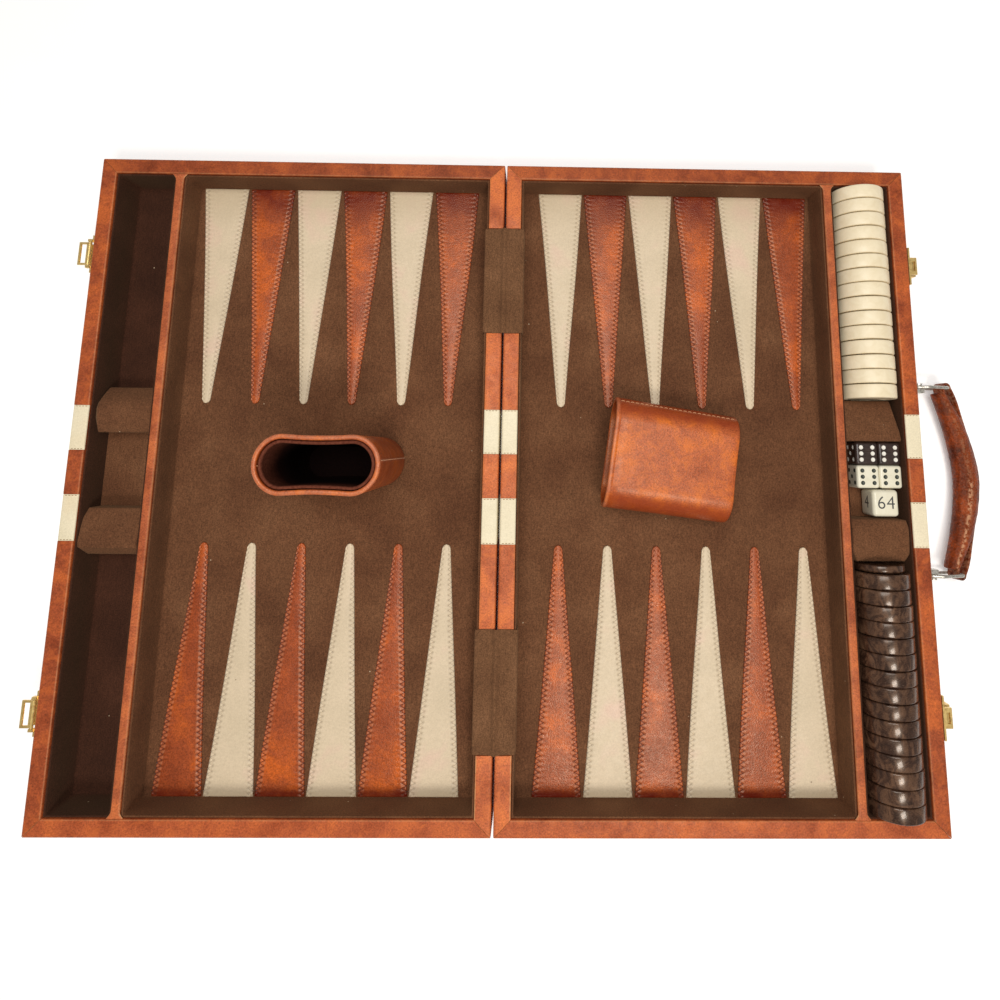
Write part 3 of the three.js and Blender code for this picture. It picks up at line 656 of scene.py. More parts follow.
def belt_outline():
    """A belt's run over the inner rail, under the base and over the outer rail, as (x, z)."""
    outline = [(FOLD_GAP + RIM - 0.05, RIM_Z - 0.9)]
    outline += arc(FOLD_GAP + RIM - 1.0, RIM_Z - 1.0, 1.0 - BELT_SUNK, 20, 90, 3)
    outline += [(FOLD_GAP + 6, RIM_Z - BELT_SUNK)]
    outline += arc(FOLD_GAP + 1.5, RIM_Z - 1.5, 1.5 - BELT_SUNK, 90, 180, 5)
    outline += [(FOLD_GAP + BELT_SUNK, 17)]
    outline += arc(FOLD_GAP + 1.0, 1.0, 1.0 - BELT_SUNK, 180, 270, 3)
    outline += [(FOLD_GAP + (HALF_WIDTH - FOLD_GAP) * k / 6, BELT_SUNK) for k in range(1, 6)]
    outline += arc(HALF_WIDTH - 1.0, 1.0, 1.0 - BELT_SUNK, 270, 360, 3)
    outline += [(HALF_WIDTH - BELT_SUNK, 17)]
    outline += arc(HALF_WIDTH - 1.5, RIM_Z - 1.5, 1.5 - BELT_SUNK, 0, 90, 5)
    outline += [(HALF_WIDTH - 6, RIM_Z - BELT_SUNK)]
    outline += arc(TRAY_OUT + 1.0, RIM_Z - 1.0, 1.0 - BELT_SUNK, 90, 160, 3)
    return outline + [(TRAY_OUT + 0.05, RIM_Z - 0.9)]


def build_belt(label, side, end, far):
    """One cream belt, its long edges turned down."""
    outline = belt_outline()
    centre = Vector(((FOLD_GAP + HALF_WIDTH) / 2, RIM_Z / 2))
    edge = [(0.0, BELT_THICK), (0.0, 0.16), (0.3, 0.0), (1.4, 0.0)]
    across = [(BELT_IN + y, drop) for y, drop in edge] + [(BELT_OUT - y, drop) for y, drop in reversed(edge)]
    rings = []
    for y, drop in across:
        ring = []
        for x, z in outline:
            inwards = Vector((1 if x < centre.x else -1, 0))
            if min(z, RIM_Z - z) < 1.2:
                inwards = Vector((0, 1 if z < centre.y else -1))
            ring.append((side * (x + inwards.x * drop), far * y, z + inwards.y * drop))
        rings.append(ring)
    points, faces = skin(rings, closed_ring=False, capped=False)
    count, last = len(outline), (len(rings) - 1) * len(outline)
    faces += [(i, i + 1, last + i + 1, last + i) for i in range(count - 1)]
    faces += [tuple(i * count + j for i in range(len(rings))) for j in (0, count - 1)]
    make(f"belt_{label}_{end}", (points, faces), STRIPE, f"{label}_half",
         [f"{label}_stripe_{end}"])


def build_belt_stitches(label, side, end, far):
    """Dashes along both edges of a belt: four on each rail's top and ten down the outer wall."""
    stitches = []
    for y in (BELT_IN + 0.7, BELT_OUT - 0.7):
        for x0, x1 in ((FOLD_GAP + 1.4, FOLD_GAP + RIM - 0.8), (TRAY_OUT + 0.8, HALF_WIDTH - 1.6)):
            reach = (x1 - x0) / 4 * 0.76
            for k in range(4):
                x = x0 + (x1 - x0) * (k + 0.12) / 4
                dash = [(x, -0.5), (x + 0.3, -0.27), (x + reach - 0.3, -0.27), (x + reach, -0.5)]
                stitches.append(tube([(side * d, far * y, RIM_Z + up) for d, up in dash], 0.25, 8))
        for k in range(10):
            z = 2.2 + 3.0 * k
            dash = [(z, -0.25), (z + 0.3, 0.02), (z + 2.0, 0.02), (z + 2.3, -0.25)]
            path = [(side * (HALF_WIDTH - BELT_SUNK + out), far * y, up) for up, out in dash]
            stitches.append(tube(path, 0.2, 5))
    make(f"belt_stitches_{label}_{end}", joined(*stitches), THREAD_GOLD, f"{label}_half", smooth=80)


def build_stripes():
    """Cream belts let into both rails and the base, with a turned edge and a row of fine stitches."""
    for label, side in SIDES.items():
        for end, far in ENDS.items():
            build_belt(label, side, end, far)
            build_belt_stitches(label, side, end, far)


# ---------------------------------------------------------------- dividers
def build_dividers():
    """Leather-covered partition; its cover flares where it is turned onto the end rails."""
    reach = FRAME_IN - FIT
    mid = (DIVIDER_IN + DIVIDER_OUT) / 2
    half = (DIVIDER_OUT - DIVIDER_IN) / 2
    section = [(-half, 6.0, 0.0), (-half, 20.0, 0.0), (-half, LINING_Z, 0.0)]
    section += [(x, z, 1.0 if i in (1, 2) else 0.0)
                for i, (x, z) in enumerate(arc(-half + 1.1, RIM_Z - 1.1, 1.1, 180, 90, 4))]
    section += [(-0.9, RIM_Z, 0.0), (0.9, RIM_Z, 0.0)]
    section += [(x, z, 1.0 if i in (2, 3) else 0.0)
                for i, (x, z) in enumerate(arc(half - 1.1, RIM_Z - 1.1, 1.1, 90, 0, 4))]
    section += [(half, LINING_Z, 0.0), (half, 20.0, 0.0), (half, 6.0, 0.0)]
    stations = [0, 0.5, 1.0, 1.6, 2.3, 3.2, 4.4, 6, 10, 20, 40, 60, 80, 100, 130, 160, 190]
    for label, side in SIDES.items():
        rings, wear_and_sheen = [], []
        for end in (-1, 1):
            for d in stations if end < 0 else reversed(stations):
                flare = 2.5 * math.exp(-((d / 1.9) ** 1.5))
                ring = []
                for x, z, edge in section:
                    out = math.copysign(flare, x) * step_smooth(z, LINING_Z, LINING_Z + 0.8) if x else 0
                    ring.append((side * (mid + x + out), end * (reach - d), z))
                    # Pale top edges, most at the flared ends: rubbing and painted highlight.
                    wear_and_sheen.append(edge * (0.9 if d < 2.4 else 0.4) if z > LINING_Z else 0.0)
                rings.append(ring)
        make(f"partition_{label}", skin(rings), LEATHER_DIVIDER, f"{label}_half",
             [f"{label}_divider"], {"wear_and_sheen": wear_and_sheen})


# ---------------------------------------------------------------- felt linings
def felt_tray(name, node, body, x0, x1, floor, look):
    """A felt-covered box: rolled upper edge, soft inner corners, a floor that waves a little along the walls.
    """
    y1 = high(node).y
    bottom = low(node).z
    phase = random.Random(name).uniform(0, 6)

    def outline(inset, fillet):
        xa, xb, ya, yb = x0 + inset, x1 - inset, -y1 + inset, y1 - inset
        run_x, run_y = xb - xa - 2 * fillet, yb - ya - 2 * fillet
        steps_x, steps_y = 13, 25
        points = [(xa + fillet + run_x * i / steps_x, ya) for i in range(steps_x + 1)]
        points += [(xb, ya + fillet + run_y * i / steps_y) for i in range(steps_y + 1)]
        points += [(xb - fillet - run_x * i / steps_x, yb) for i in range(steps_x + 1)]
        return points + [(xa, yb - fillet - run_y * i / steps_y) for i in range(steps_y + 1)]

    rings = []
    levels = [(0.0, bottom, 0.3), (0.0, LINING_Z - 0.5, 0.3), (0.15, LINING_Z - 0.12, 0.3),
              (FELT / 2, LINING_Z, 0.4), (FELT - 0.15, LINING_Z - 0.12, 0.6), (FELT, LINING_Z - 0.6, 0.8),
              (FELT, (LINING_Z + floor) / 2, 0.8), (FELT, floor + 1.2, 0.8), (FELT + 0.35, floor + 0.35, 1.0),
              (FELT + 1.2, floor, 1.2), (FELT + 5.0, floor, 1.4)]
    for inset, z, fillet in levels:
        inner = inset >= FELT - 0.2
        ring = []
        for x, y in outline(inset, fillet):
            bow = math.sin(0.03 * (x + y) + phase) * math.sin(0.011 * (y - x) + 2 * phase) if inner else 0
            lift = 0.12 * math.sin(0.09 * (x - y) + phase) if z > LINING_Z - 0.4 else 0
            ring.append((x, y, z + lift * 0.5 + (bow * 0.1 if z <= floor else 0)))
        rings.append(ring)
    points, faces = skin(rings, capped=False)
    count = len(rings[-1])
    faces.append(tuple(len(points) - count + j for j in range(count)))
    faces.append(tuple(range(count)))
    make(name, (points, faces), look, body, [node], smooth=60)


def build_linings():
    """The felt linings of each half's playing field and checker tray."""
    spans = {"field": (FIELD_IN, FIELD_OUT, FIELD_FLOOR, FELT_BROWN),
             "tray": (TRAY_LINING_IN, TRAY_LINING_OUT, TRAY_FLOOR, FELT_TRAY_SHADED)}
    for label, side in SIDES.items():
        for kind, (a, b, floor, look) in spans.items():
            x0, x1 = sorted((side * a, side * b))
            felt_tray(f"felt_{kind}_{label}", f"{label}_{kind}_lining", f"{label}_half", x0, x1, floor, look)


# Each wedge: its ridge line as (y, z), then how far each side reaches at a share of the way out to the rim.
WEDGES = {
    ("right", "far"): dict(
        ridge=[(26.8, 30.4), (29.5, 30.8), (40, 27.8), (52, 23.6), (56.3, 21.0)],
        inner=[(0, 26.9), (1, 26.9)], outer=[(0, 56.2), (0.94, 56.2), (1, 30)], fold=1.0, drop=0.0),
    ("right", "near"): dict(
        ridge=[(26.8, 30.8), (33, 32.6), (42, 32.4), (50, 31.4), (56.3, 27.9)],
        inner=[(0, 26.9), (0.97, 27.6), (1, 33)], outer=[(0, 49.5), (0.1, 56.0), (0.94, 55.8), (1, 51)],
        fold=1.0, drop=0.0),
    ("left", "far"): dict(
        ridge=[(27.2, 28.6), (32, 30.6), (38, 32.0), (44, 32.3), (49, 30.8), (53, 27.6), (57, 23.4),
               (59.6, 20.8)],
        inner=[(0, 27.3), (0.92, 27.3), (1, 37)], outer=[(0, 59.5), (0.92, 59.5), (1, 47)],
        fold=0.92, drop=3.2),
    ("left", "near"): dict(
        ridge=[(24.2, 28.2), (36, 31.2), (45, 33.1), (50, 32.9), (55.6, 26.4)],
        inner=[(0, 24.3), (0.94, 24.3), (1, 31)], outer=[(0, 55.5), (0.9, 55.5), (1, 50)],
        fold=1.0, drop=0.0),
}


def along_line(line, t):
    """The value at t of a line of (position, value) pairs."""
    for (t0, v0), (t1, v1) in zip(line, line[1:]):
        if t <= t1:
            return v0 + (v1 - v0) * max(0.0, t - t0) / (t1 - t0)
    return line[-1][1]


def build_wedge(label, side, end, far, near_x, far_x):
    """Felt stretched over one card wedge, with its corners folded down like a parcel."""
    wedge = WEDGES[label, end]
    stops = {t for line in (wedge["inner"], wedge["outer"]) for t, _ in line}
    stops |= {k / 14 for k in range(15)} | {0.012, 0.03, 0.988, wedge["fold"]}
    rings = []
    for t in sorted(stops):
        x = near_x + (far_x - near_x) * t
        edge = min(t, 1 - t) * (far_x - near_x)
        y0, y1 = along_line(wedge["inner"], t), along_line(wedge["outer"], t)
        fall = 0.9 * math.exp(-edge / 0.45)
        if t > wedge["fold"]:
            fall += wedge["drop"] * (t - wedge["fold"]) / (1 - wedge["fold"])
        ring = [(side * x, far * y0, TRAY_FLOOR + FIT)]
        wide = y1 - y0
        across = [0.0, 0.25, 0.8, wide - 0.8, wide - 0.25, wide] + [wide * k / 12 for k in range(1, 12)]
        for d in sorted(across):
            roll = 0.75 * math.exp(-min(d, wide - d) / 0.35)
            soft = 0.14 * noise.noise(Vector((x * 0.12, (y0 + d) * 0.12, 3.0 * side)))
            ring.append((side * x, far * (y0 + d), along_line(wedge["ridge"], y0 + d) - fall - roll + soft))
        rings.append(ring + [(side * x, far * y1, TRAY_FLOOR + FIT)])
    make(f"felt_wedge_{label}_{end}", skin(rings), FELT_BROWN, f"{label}_half",
         [f"{label}_dice_well"], smooth=32)


def build_pad(label, side, near_x, far_x):
    """The dished felt floor between a well's two wedges, where the dice lie."""
    floor = low("die_dark_1").z - FIT
    begin, stop = -WEDGES[label, "near"]["inner"][0][1] - 0.1, WEDGES[label, "far"]["inner"][0][1] + 0.1
    rings = []
    for k in range(13):
        x = side * (near_x + (far_x - near_x) * k / 12)
        dish = 0.35 * math.sin(math.pi * k / 12)
        rings.append([(x, begin + (stop - begin) * j / 16, floor - dish * math.sin(math.pi * j / 16))
                      for j in range(17)] + [(x, stop, TRAY_FLOOR + FIT), (x, begin, TRAY_FLOOR + FIT)])
    make(f"felt_pad_{label}", skin(rings), FELT_BROWN, f"{label}_half", smooth=40)


def build_dice_wells():
    """Two felt wedges and a pad in the middle of each half's tray."""
    for label, side in SIDES.items():
        ends = [abs(corner(f"{label}_dice_well").x) for corner in (low, high)]
        near_x, far_x = min(ends) + 0.1, max(ends) - 0.1
        for end, far in ENDS.items():
            build_wedge(label, side, end, far, near_x, far_x)
        build_pad(label, side, near_x, far_x)


# ---------------------------------------------------------------- stitched points
POINT_LENGTH = POINT_FOOT - low("right_points_far").y
POINT_BASE = 33.8
POINT_TIP = 5.6
STITCH = 3.5  # one zigzag
STITCH_WIDE = 3.3
LEANS = {("left", "near"): 3.6, ("left", "far"): -1.4, ("right", "far"): 2.2, ("right", "near"): 0.4}


def point_half_width(along):
    """Half the width of a point, along millimetres from its foot, with a rounded tip."""
    w = (POINT_BASE + (POINT_TIP - POINT_BASE) * along / POINT_LENGTH) / 2
    left = POINT_LENGTH - along
    r = POINT_TIP / 2
    if left < r:
        w = min(w, math.sqrt(max(0.05, r * r - (r - left) ** 2)))
    return w


def zigzag(along):
    """Distance in from the leather's edge of the stitch line at that place."""
    phase = (along / STITCH) % 1.0
    return STITCH_WIDE * (1 - abs(2 * phase - 1))


def point_height(along, edge_in, across):
    """Leather height above the felt: turned edge, padded middle, drawn down under the stitches."""
    rolled = 0.12 + (POINT_TOP - POINT_Z) * math.sqrt(min(1.0, max(0.0, min(edge_in, along) / 0.7)))
    crown = 0.26 * (1 - across * across) * step_smooth(edge_in, 0.0, 6.0)
    apart = abs(edge_in - zigzag(along)) * 0.47
    drawn = 0.42 * math.exp(-((apart / 0.5) ** 2)) if edge_in < 4.2 else 0.0
    puff = 0.2 * step_smooth(apart, 0.3, 0.9) if 0.3 < edge_in < 3.6 else 0.0
    return POINT_Z + max(0.1, rolled + crown + puff - drawn)


def point_spots(label, end, index):
    """The function that gives the board's (x, y) for a place along a point and across it."""
    row, far = f"{label}_points_{end}", ENDS[end]
    start = low(row).x
    mid = start + (index + 0.5) * ((high(row).x - start) / 6)
    wander = random.Random(f"{label}{end}{index}").uniform(-0.5, 0.5)

    def spot(along, x):
        shift = LEANS[label, end] * (along / POINT_LENGTH) ** 1.2 + wander * math.sin(along * 0.03)
        return mid + x + shift, far * (POINT_FOOT - along)

    return spot


def narrowing(width):
    """How far the stitching closes up where half the point's width is under 7 mm."""
    return min(1.0, width / 7.0)


def point_leather(spot, foot_shade_reach):
    """A point's leather skin, with numbers for painted shade at its foot and stitch holes and highlight on
    its puffs.
    """
    insets = [0.0, 0.22, 0.6, 1.1, 1.6, 2.1, 2.6, 3.1, 3.6, 4.4]
    rows = [0.0, 0.22, 0.5] + [0.7 * k for k in range(1, int(POINT_LENGTH / 0.7))]
    rows += [POINT_LENGTH - d for d in (0.5, 0.2, 0.02)]
    rings, foot, hole, puff = [], [], [], []
    for along in sorted(r for r in rows if r <= POINT_LENGTH):
        w = point_half_width(along)
        k = narrowing(w)
        xs = [-(w - d * k) for d in insets]
        xs += [xs[-1] * f for f in (0.6, 0.2, -0.2, -0.6)] + [-x for x in reversed(xs)]
        ring = []
        for x in xs:
            edge_in = (w - abs(x)) / k
            ring.append((*spot(along, x), point_height(along, edge_in, x / w)))
            # Painted shade at the foot, reaching further up on the far points.
            foot.append(1 - step_smooth(along, 2.0, foot_shade_reach))
            # Where the painted highlight of the puffs falls.
            off_line = abs(edge_in - zigzag(along)) * 0.47
            puff.append(step_smooth(off_line, 0.3, 0.9) if 0.3 < edge_in < 3.6 else 0.0)
            # Painted shade in the needle holes at the stitch ends.
            phase = (along / STITCH) % 1.0 - 0.5
            puncture = math.hypot(phase * STITCH, edge_in - STITCH_WIDE)
            puncture = min(puncture, math.hypot(((phase + 1) % 1 - 0.5) * STITCH, edge_in - 0.4))
            hole.append(math.exp(-((puncture / 0.6) ** 2)))
        ring += [(*spot(along, x), POINT_Z) for x in (xs[-1], xs[0])]
        for marks in (foot, hole, puff):
            marks += [0.0, 0.0]
        rings.append(ring)
    return skin(rings), {"foot": foot, "hole": hole, "puff": puff}


def point_stitches(spot):
    """The two zigzag threads along a point's sides."""
    threads = []
    for side in (-1, 1):
        path = []
        for j in range(int((POINT_LENGTH - 6) / STITCH * 2)):
            for f in (0.0, 0.12, 0.5, 0.88):
                along = (j + f) * STITCH / 2
                if along < 0.8:
                    continue
                w = point_half_width(along)
                edge_in = zigzag(along) - (0.35 if j % 2 == 0 and f == 0 else 0)
                x = side * (w - edge_in * narrowing(w))
                z = point_height(along, max(edge_in, 0.1), x / w) + (0.2 if f else -0.12)
                path.append((*spot(along, x), z))
        threads.append(tube(path, 0.17, 4))
    return joined(*threads)


def build_points():
    """24 stitched points, cream and cognac in turn."""
    for label in SIDES:
        for end in ENDS:
            for index in range(6):
                cream = (index % 2 == 0) == (end == "far")
                name = f"point_{label}_{end}_{index + 1}"
                spot = point_spots(label, end, index)
                shape, marks = point_leather(spot, 7.0 if end == "near" else 38.0)
                make(name, shape, POINT_CREAM if cream else POINT_COGNAC, f"{label}_half",
                     [f"{label}_points_{end}"], marks, smooth=70)
                make(f"{name}_stitches", point_stitches(spot), THREAD_GREY if cream else THREAD_BROWN,
                     f"{label}_half", smooth=80)


# ---------------------------------------------------------------- hinges and their felt bands
BAND_THICK = 0.8
BAND_FLAT = RIM_Z - 0.15  # the band's upper face, beside its rise over the hinge pin
BAND_WALL = FIELD_IN + FELT + FIT  # where the band turns down into a field


def band_outline():
    """A band's upper face from one field to the other, as (x, z)."""
    half = [(x, BAND_FLAT + 2.2 * math.exp(-((x / 2.1) ** 2)))
            for x in (0, 0.5, 1, 1.5, 2, 2.6, 3.4, 4.5, 6, 8, 10, 12)]
    half += arc(BAND_WALL - 0.4, BAND_FLAT - 1.2, 1.2, 90, 0, 4)
    half += [(BAND_WALL + BAND_THICK, z) for z in (29, 25, low("band_far").z)]
    return [(-x, z) for x, z in reversed(half[1:])] + half


def band_ring(outline, far, t):
    """One cut through a band at share t of the way along the fold: its upper face, then its lower."""
    pinch = min(t, 1 - t) * (BAND_OUT - BAND_IN)
    thin = 0.35 * math.exp(-pinch / 0.35)
    upper, lower = [], []
    for x, z in outline:
        bulge = 0.5 * (1 - (x / (BAND_WALL + 1)) ** 2) * (2 * t - 1) ** 5
        y = far * (BAND_IN + 0.4 + (BAND_OUT - BAND_IN - 0.8) * t + bulge)
        soft = 0.12 * noise.noise(Vector((x * 0.15, y * 0.08, 7.0)))
        down = min(1.0, max(0.0, (BAND_FLAT - z) / 1.2)) if abs(x) > BAND_WALL else 0.0
        upper.append((x - math.copysign(thin * down, x), y, z - thin * (1 - down) + soft * (1 - down)))
        inward = math.copysign(BAND_THICK * down, x) if x else 0
        drop = BAND_THICK * (1 - down)
        lower.append((x - inward + math.copysign(thin * down, x), y, z - drop + thin * (1 - down)))
    return upper + lower[::-1]


def build_bands():
    """Felt bands over the hinges: across both inner rails and a little way down into each field."""
    outline = band_outline()
    rows = 42
    for end, far in ENDS.items():
        rings = [band_ring(outline, far, i / rows) for i in range(rows + 1)]
        band = make(f"felt_band_{end}", skin(rings), FELT_BAND, None, [f"band_{end}"],
                    smooth=60)
        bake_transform(band)
        for side in ("left", "right"):
            soften(f"hinge_{end}_leaf_{side}", NICKEL, 0.2)


# ---------------------------------------------------------------- checkers
def around(sides):
    """Angles of a full turn in even steps."""
    return [2 * math.pi * j / sides for j in range(sides)]


def disc(radius, thick):
    """A turned checker about the Y axis, from 0 to thick: eased rim, raised lip and dished faces."""
    profile = [(4.0, 0.75), (9.5, 0.75), (13.4, 0.75), (14.0, 0.55), (14.4, 0.12), (15.0, 0.0), (17.3, 0.0)]
    profile += [(radius - 1.1 + 1.1 * math.sin(t), 1.1 - 1.1 * math.cos(t))
                for t in (0.3, 0.7, 1.1, math.pi / 2)]
    profile = [(min(r, radius - 0.02 * i), y) for i, (r, y) in enumerate(reversed(profile))][::-1]
    profile += [(r, thick - y) for r, y in reversed(profile)]
    return skin([[(r * math.cos(t), y, r * math.sin(t)) for t in around(56)] for r, y in profile])


def build_checkers():
    """Two rows of fifteen checkers on edge, and the thinner disc at the head of the dark row."""
    rng = random.Random(15)
    for colour, look, far in (("light", LIGHT_PLASTIC, 1), ("dark", DARK_RESIN, -1)):
        first, second = f"checkers_{colour}_a", f"checkers_{colour}_b"
        begin = low(first).y if far > 0 else -high(first).y
        following = low(second).y if far > 0 else -high(second).y
        pitch = (following - begin) / 5
        thick = high(first).y - low(first).y - 4 * pitch
        radius = (high(first).z - low(first).z) / 2
        centre_x, centre_z = ((high(first)[axis] + low(first)[axis]) / 2 for axis in (0, 2))
        for i in range(15):
            body = f"checkers_{colour}_{'abc'[i // 5]}"
            points, faces = disc(radius - 0.05, thick - 0.05)
            spin = Matrix.Rotation(rng.uniform(0, 6.28), 4, "Y")
            turn = spin @ Matrix.Rotation(rng.uniform(-0.004, 0.004), 4, "X")
            y = begin + i * pitch + rng.uniform(-0.12, 0.12)
            offset = Vector((centre_x + rng.uniform(-0.25, 0.25), y if far > 0 else -y - thick, centre_z))
            points = [tuple(turn @ Vector(p) + offset) for p in points]
            make(f"checker_{colour}_{i + 1}", (points, faces), look, body, [body])
    node = "spacer_dark"
    near, centre = low(node), centre_of(node)
    points, faces = disc((high(node).z - near.z) / 2, high(node).y - near.y)
    points = [(x + centre.x, y + near.y, z + centre.z) for x, y, z in points]
    make("slice_dark", (points, faces), DARK_RESIN, node, [node])


# ---------------------------------------------------------------- dice and doubling cube
PIPS = {
    1: [(0, 0)],
    2: [(-1, -1), (1, 1)],
    3: [(-1, -1), (0, 0), (1, 1)],
    4: [(-1, -1), (-1, 1), (1, -1), (1, 1)],
    5: [(-1, -1), (-1, 1), (0, 0), (1, -1), (1, 1)],
    6: [(-1, -1), (-1, 0), (-1, 1), (1, -1), (1, 0), (1, 1)],
}
FACES = {  # outward normal, then the directions that read as right and up on that face
    "top": ((0, 0, 1), (1, 0, 0), (0, 1, 0)),
    "left": ((-1, 0, 0), (0, 0, 1), (0, 1, 0)),
    "near": ((0, -1, 0), (1, 0, 0), (0, 0, 1)),
    "far": ((0, 1, 0), (-1, 0, 0), (0, 0, 1)),
    "right": ((1, 0, 0), (0, 0, -1), (0, 1, 0)),
    "bottom": ((0, 0, -1), (1, 0, 0), (0, -1, 0)),
}


def baked(piece):
    """A piece's modifiers applied to its mesh."""
    depsgraph = bpy.context.evaluated_depsgraph_get()
    mesh = bpy.data.meshes.new_from_object(piece.evaluated_get(depsgraph))
    old = piece.data
    piece.modifiers.clear()
    piece.data = mesh
    bpy.data.meshes.remove(old)
    return piece


def settle(piece, node, crease):
    """A baked piece's shading, and its place in the frame."""
    mend(piece.data, crease)
    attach(piece, node)
    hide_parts(node)


def rounded_cube(name, node, look, ease):
    """A cube with generously tumbled edges, filling its CAD node's box."""
    a, b = low(node), high(node)
    corners = [(x, y, z) for x in (a.x, b.x) for y in (a.y, b.y) for z in (a.z, b.z)]
    faces = [(0, 1, 3, 2), (4, 6, 7, 5), (0, 4, 5, 1), (2, 3, 7, 6), (0, 2, 6, 4), (1, 5, 7, 3)]
    piece = make(name, (corners, faces), look, None)
    bevel = piece.modifiers.new("tumbled", "BEVEL")
    bevel.width = ease * MM
    bevel.segments = 6
    return baked(piece)


def ball(centre, radius, rings=10, sides=20):
    """A sphere's skin, which cuts one pip."""
    loops = [[(centre.x + radius * math.sin(t) * math.cos(p), centre.y + radius * math.sin(t) * math.sin(p),
               centre.z + radius * math.cos(t)) for p in around(sides)]
             for t in (math.pi * i / rings for i in range(1, rings))]
    return skin(loops)


def build_die(node, look, pip):
    """A die whose pips are spherical cuts, lined with the pip colour."""
    die = rounded_cube(f"{node}_body", node, look, 1.9)
    centre = centre_of(node)
    half = (high(node).x - low(node).x) / 2
    balls = []
    for face, value in {"top": 6, "bottom": 1, "left": 5, "right": 2, "near": 4, "far": 3}.items():
        normal, right, up = (Vector(v) for v in FACES[face])
        for column, row in PIPS[value]:
            balls.append(ball(centre + normal * (half + 1.7) + right * column * 4.1 + up * row * 4.3, 2.3))
    cutter = make(f"{node}_cutter", joined(*balls), pip, None)
    cut = die.modifiers.new("pips", "BOOLEAN")
    cut.operation = "DIFFERENCE"
    cut.solver = "EXACT"
    cut.material_mode = "TRANSFER"
    cut.object = cutter
    baked(die)
    bpy.data.objects.remove(cutter)
    settle(die, node, 30)


def build_dice():
    """Two dark and two light dice."""
    for tone, look, pip in (("dark", EBONY, PIP_WHITE), ("light", IVORY, PIP_DARK)):
        for number in (1, 2):
            build_die(f"die_{tone}_{number}", look, pip)


def build_numeral(value, normal, right, up, place):
    """One inked numeral, raised a little from the cube's face."""
    name = f"numeral_{value}"
    curve = bpy.data.curves.new(name, "FONT")
    curve.body = value
    curve.align_x = "CENTER"
    curve.align_y = "CENTER"
    curve.size = 12.6 * MM
    curve.extrude = 0.12 * MM
    curve.offset = -0.08 * MM
    curve.space_character = 1.06
    curve.resolution_u = 5
    text = bpy.data.objects.new(name, curve)
    bpy.context.scene.collection.objects.link(text)
    bpy.context.view_layer.update()
    depsgraph = bpy.context.evaluated_depsgraph_get()
    mesh = bpy.data.meshes.new_from_object(text.evaluated_get(depsgraph))
    bpy.data.objects.remove(text)
    spot = Vector(((place.x + FOLD_X) * MM, place.y * MM, place.z * MM))
    mesh.transform(facing(right, up, normal, spot))
    mesh.materials.clear()
    mesh.materials.append(INK)
    numeral = bpy.data.objects.new(name, mesh)
    bpy.context.scene.collection.objects.link(numeral)
    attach(numeral, "doubling_cube")


def build_doubling_cube():
    """The doubling cube, one power of two on each face."""
    node = "doubling_cube"
    settle(rounded_cube("doubling_cube_body", node, IVORY, 2.6), node, 40)
    half = (high(node).x - low(node).x) / 2
    values = {"top": "64", "left": "4", "near": "2", "far": "8", "right": "32", "bottom": "16"}
    for face, value in values.items():
        normal, right, up = (Vector(v) for v in FACES[face])
        build_numeral(value, normal, right, up, centre_of(node) + normal * (half - 0.07))


# ---------------------------------------------------------------- dice cups
CUP_HEIGHT = high("cup_standing_shell").z - low("cup_standing_shell").z
CUP_A = (high("cup_standing_shell").x - low("cup_standing_shell").x) / 2
CUP_B = 18.8
CUP_TAPER = 0.96
CUP_PINCH = 0.065
LYING_TURN = math.radians(-7.9)
LYING_TILT = math.atan(CUP_B * (1 - CUP_TAPER) / CUP_HEIGHT)
END_STEPS = 40  # points round each end of the cup, then along each long side
SIDE_STEPS = 24
CUP_STEPS = 2 * (END_STEPS + SIDE_STEPS)


def cup_outline(inset, z):
    """The cup at a height: two round ends and pinched long sides, drawn in by inset."""
    k = CUP_TAPER + (1 - CUP_TAPER) * z / CUP_HEIGHT
    a, b = CUP_A * k, CUP_B * k
    half = []
    for i in range(END_STEPS):
        t = math.pi * (i / END_STEPS - 0.5)
        half.append(Vector((a - b + b * math.cos(t), b * math.sin(t))))
    for i in range(SIDE_STEPS):
        half.append(Vector(((a - b) * (1 - 2 * i / SIDE_STEPS), b)))
    oval = half + [-p for p in half]
    for p in oval:
        p.y *= 1 - CUP_PINCH * max(0.0, 1 - (p.x / (0.8 * a)) ** 2) ** 2
    moved = []
    for j, p in enumerate(oval):
        along = (oval[(j + 1) % CUP_STEPS] - oval[j - 1]).normalized()
        moved.append(p + Vector((-along.y, along.x)) * inset)
    return moved


def cup_places():
    """For each cup, the function that stands or lays a local point where the CAD has it."""
    def stand(p):
        return Vector(p)

    def lay(p):
        x, y, z = p
        q = Vector((-(z - CUP_HEIGHT / 2), x, -y))
        return Matrix.Rotation(LYING_TURN, 3, "Z") @ Matrix.Rotation(LYING_TILT, 3, "Y") @ q

    places = {}
    for which, turn in (("standing", stand), ("lying", lay)):
        rough = [turn((p.x, p.y, z)) for z in (0, CUP_HEIGHT) for p in cup_outline(0, z)]
        node = f"cup_{which}_shell"
        middle = Vector([(min(p[i] for p in rough) + max(p[i] for p in rough)) / 2 for i in range(3)])
        shift = centre_of(node) - middle
        places[which] = lambda p, turn=turn, shift=shift: tuple(turn(p) + shift)
    return places


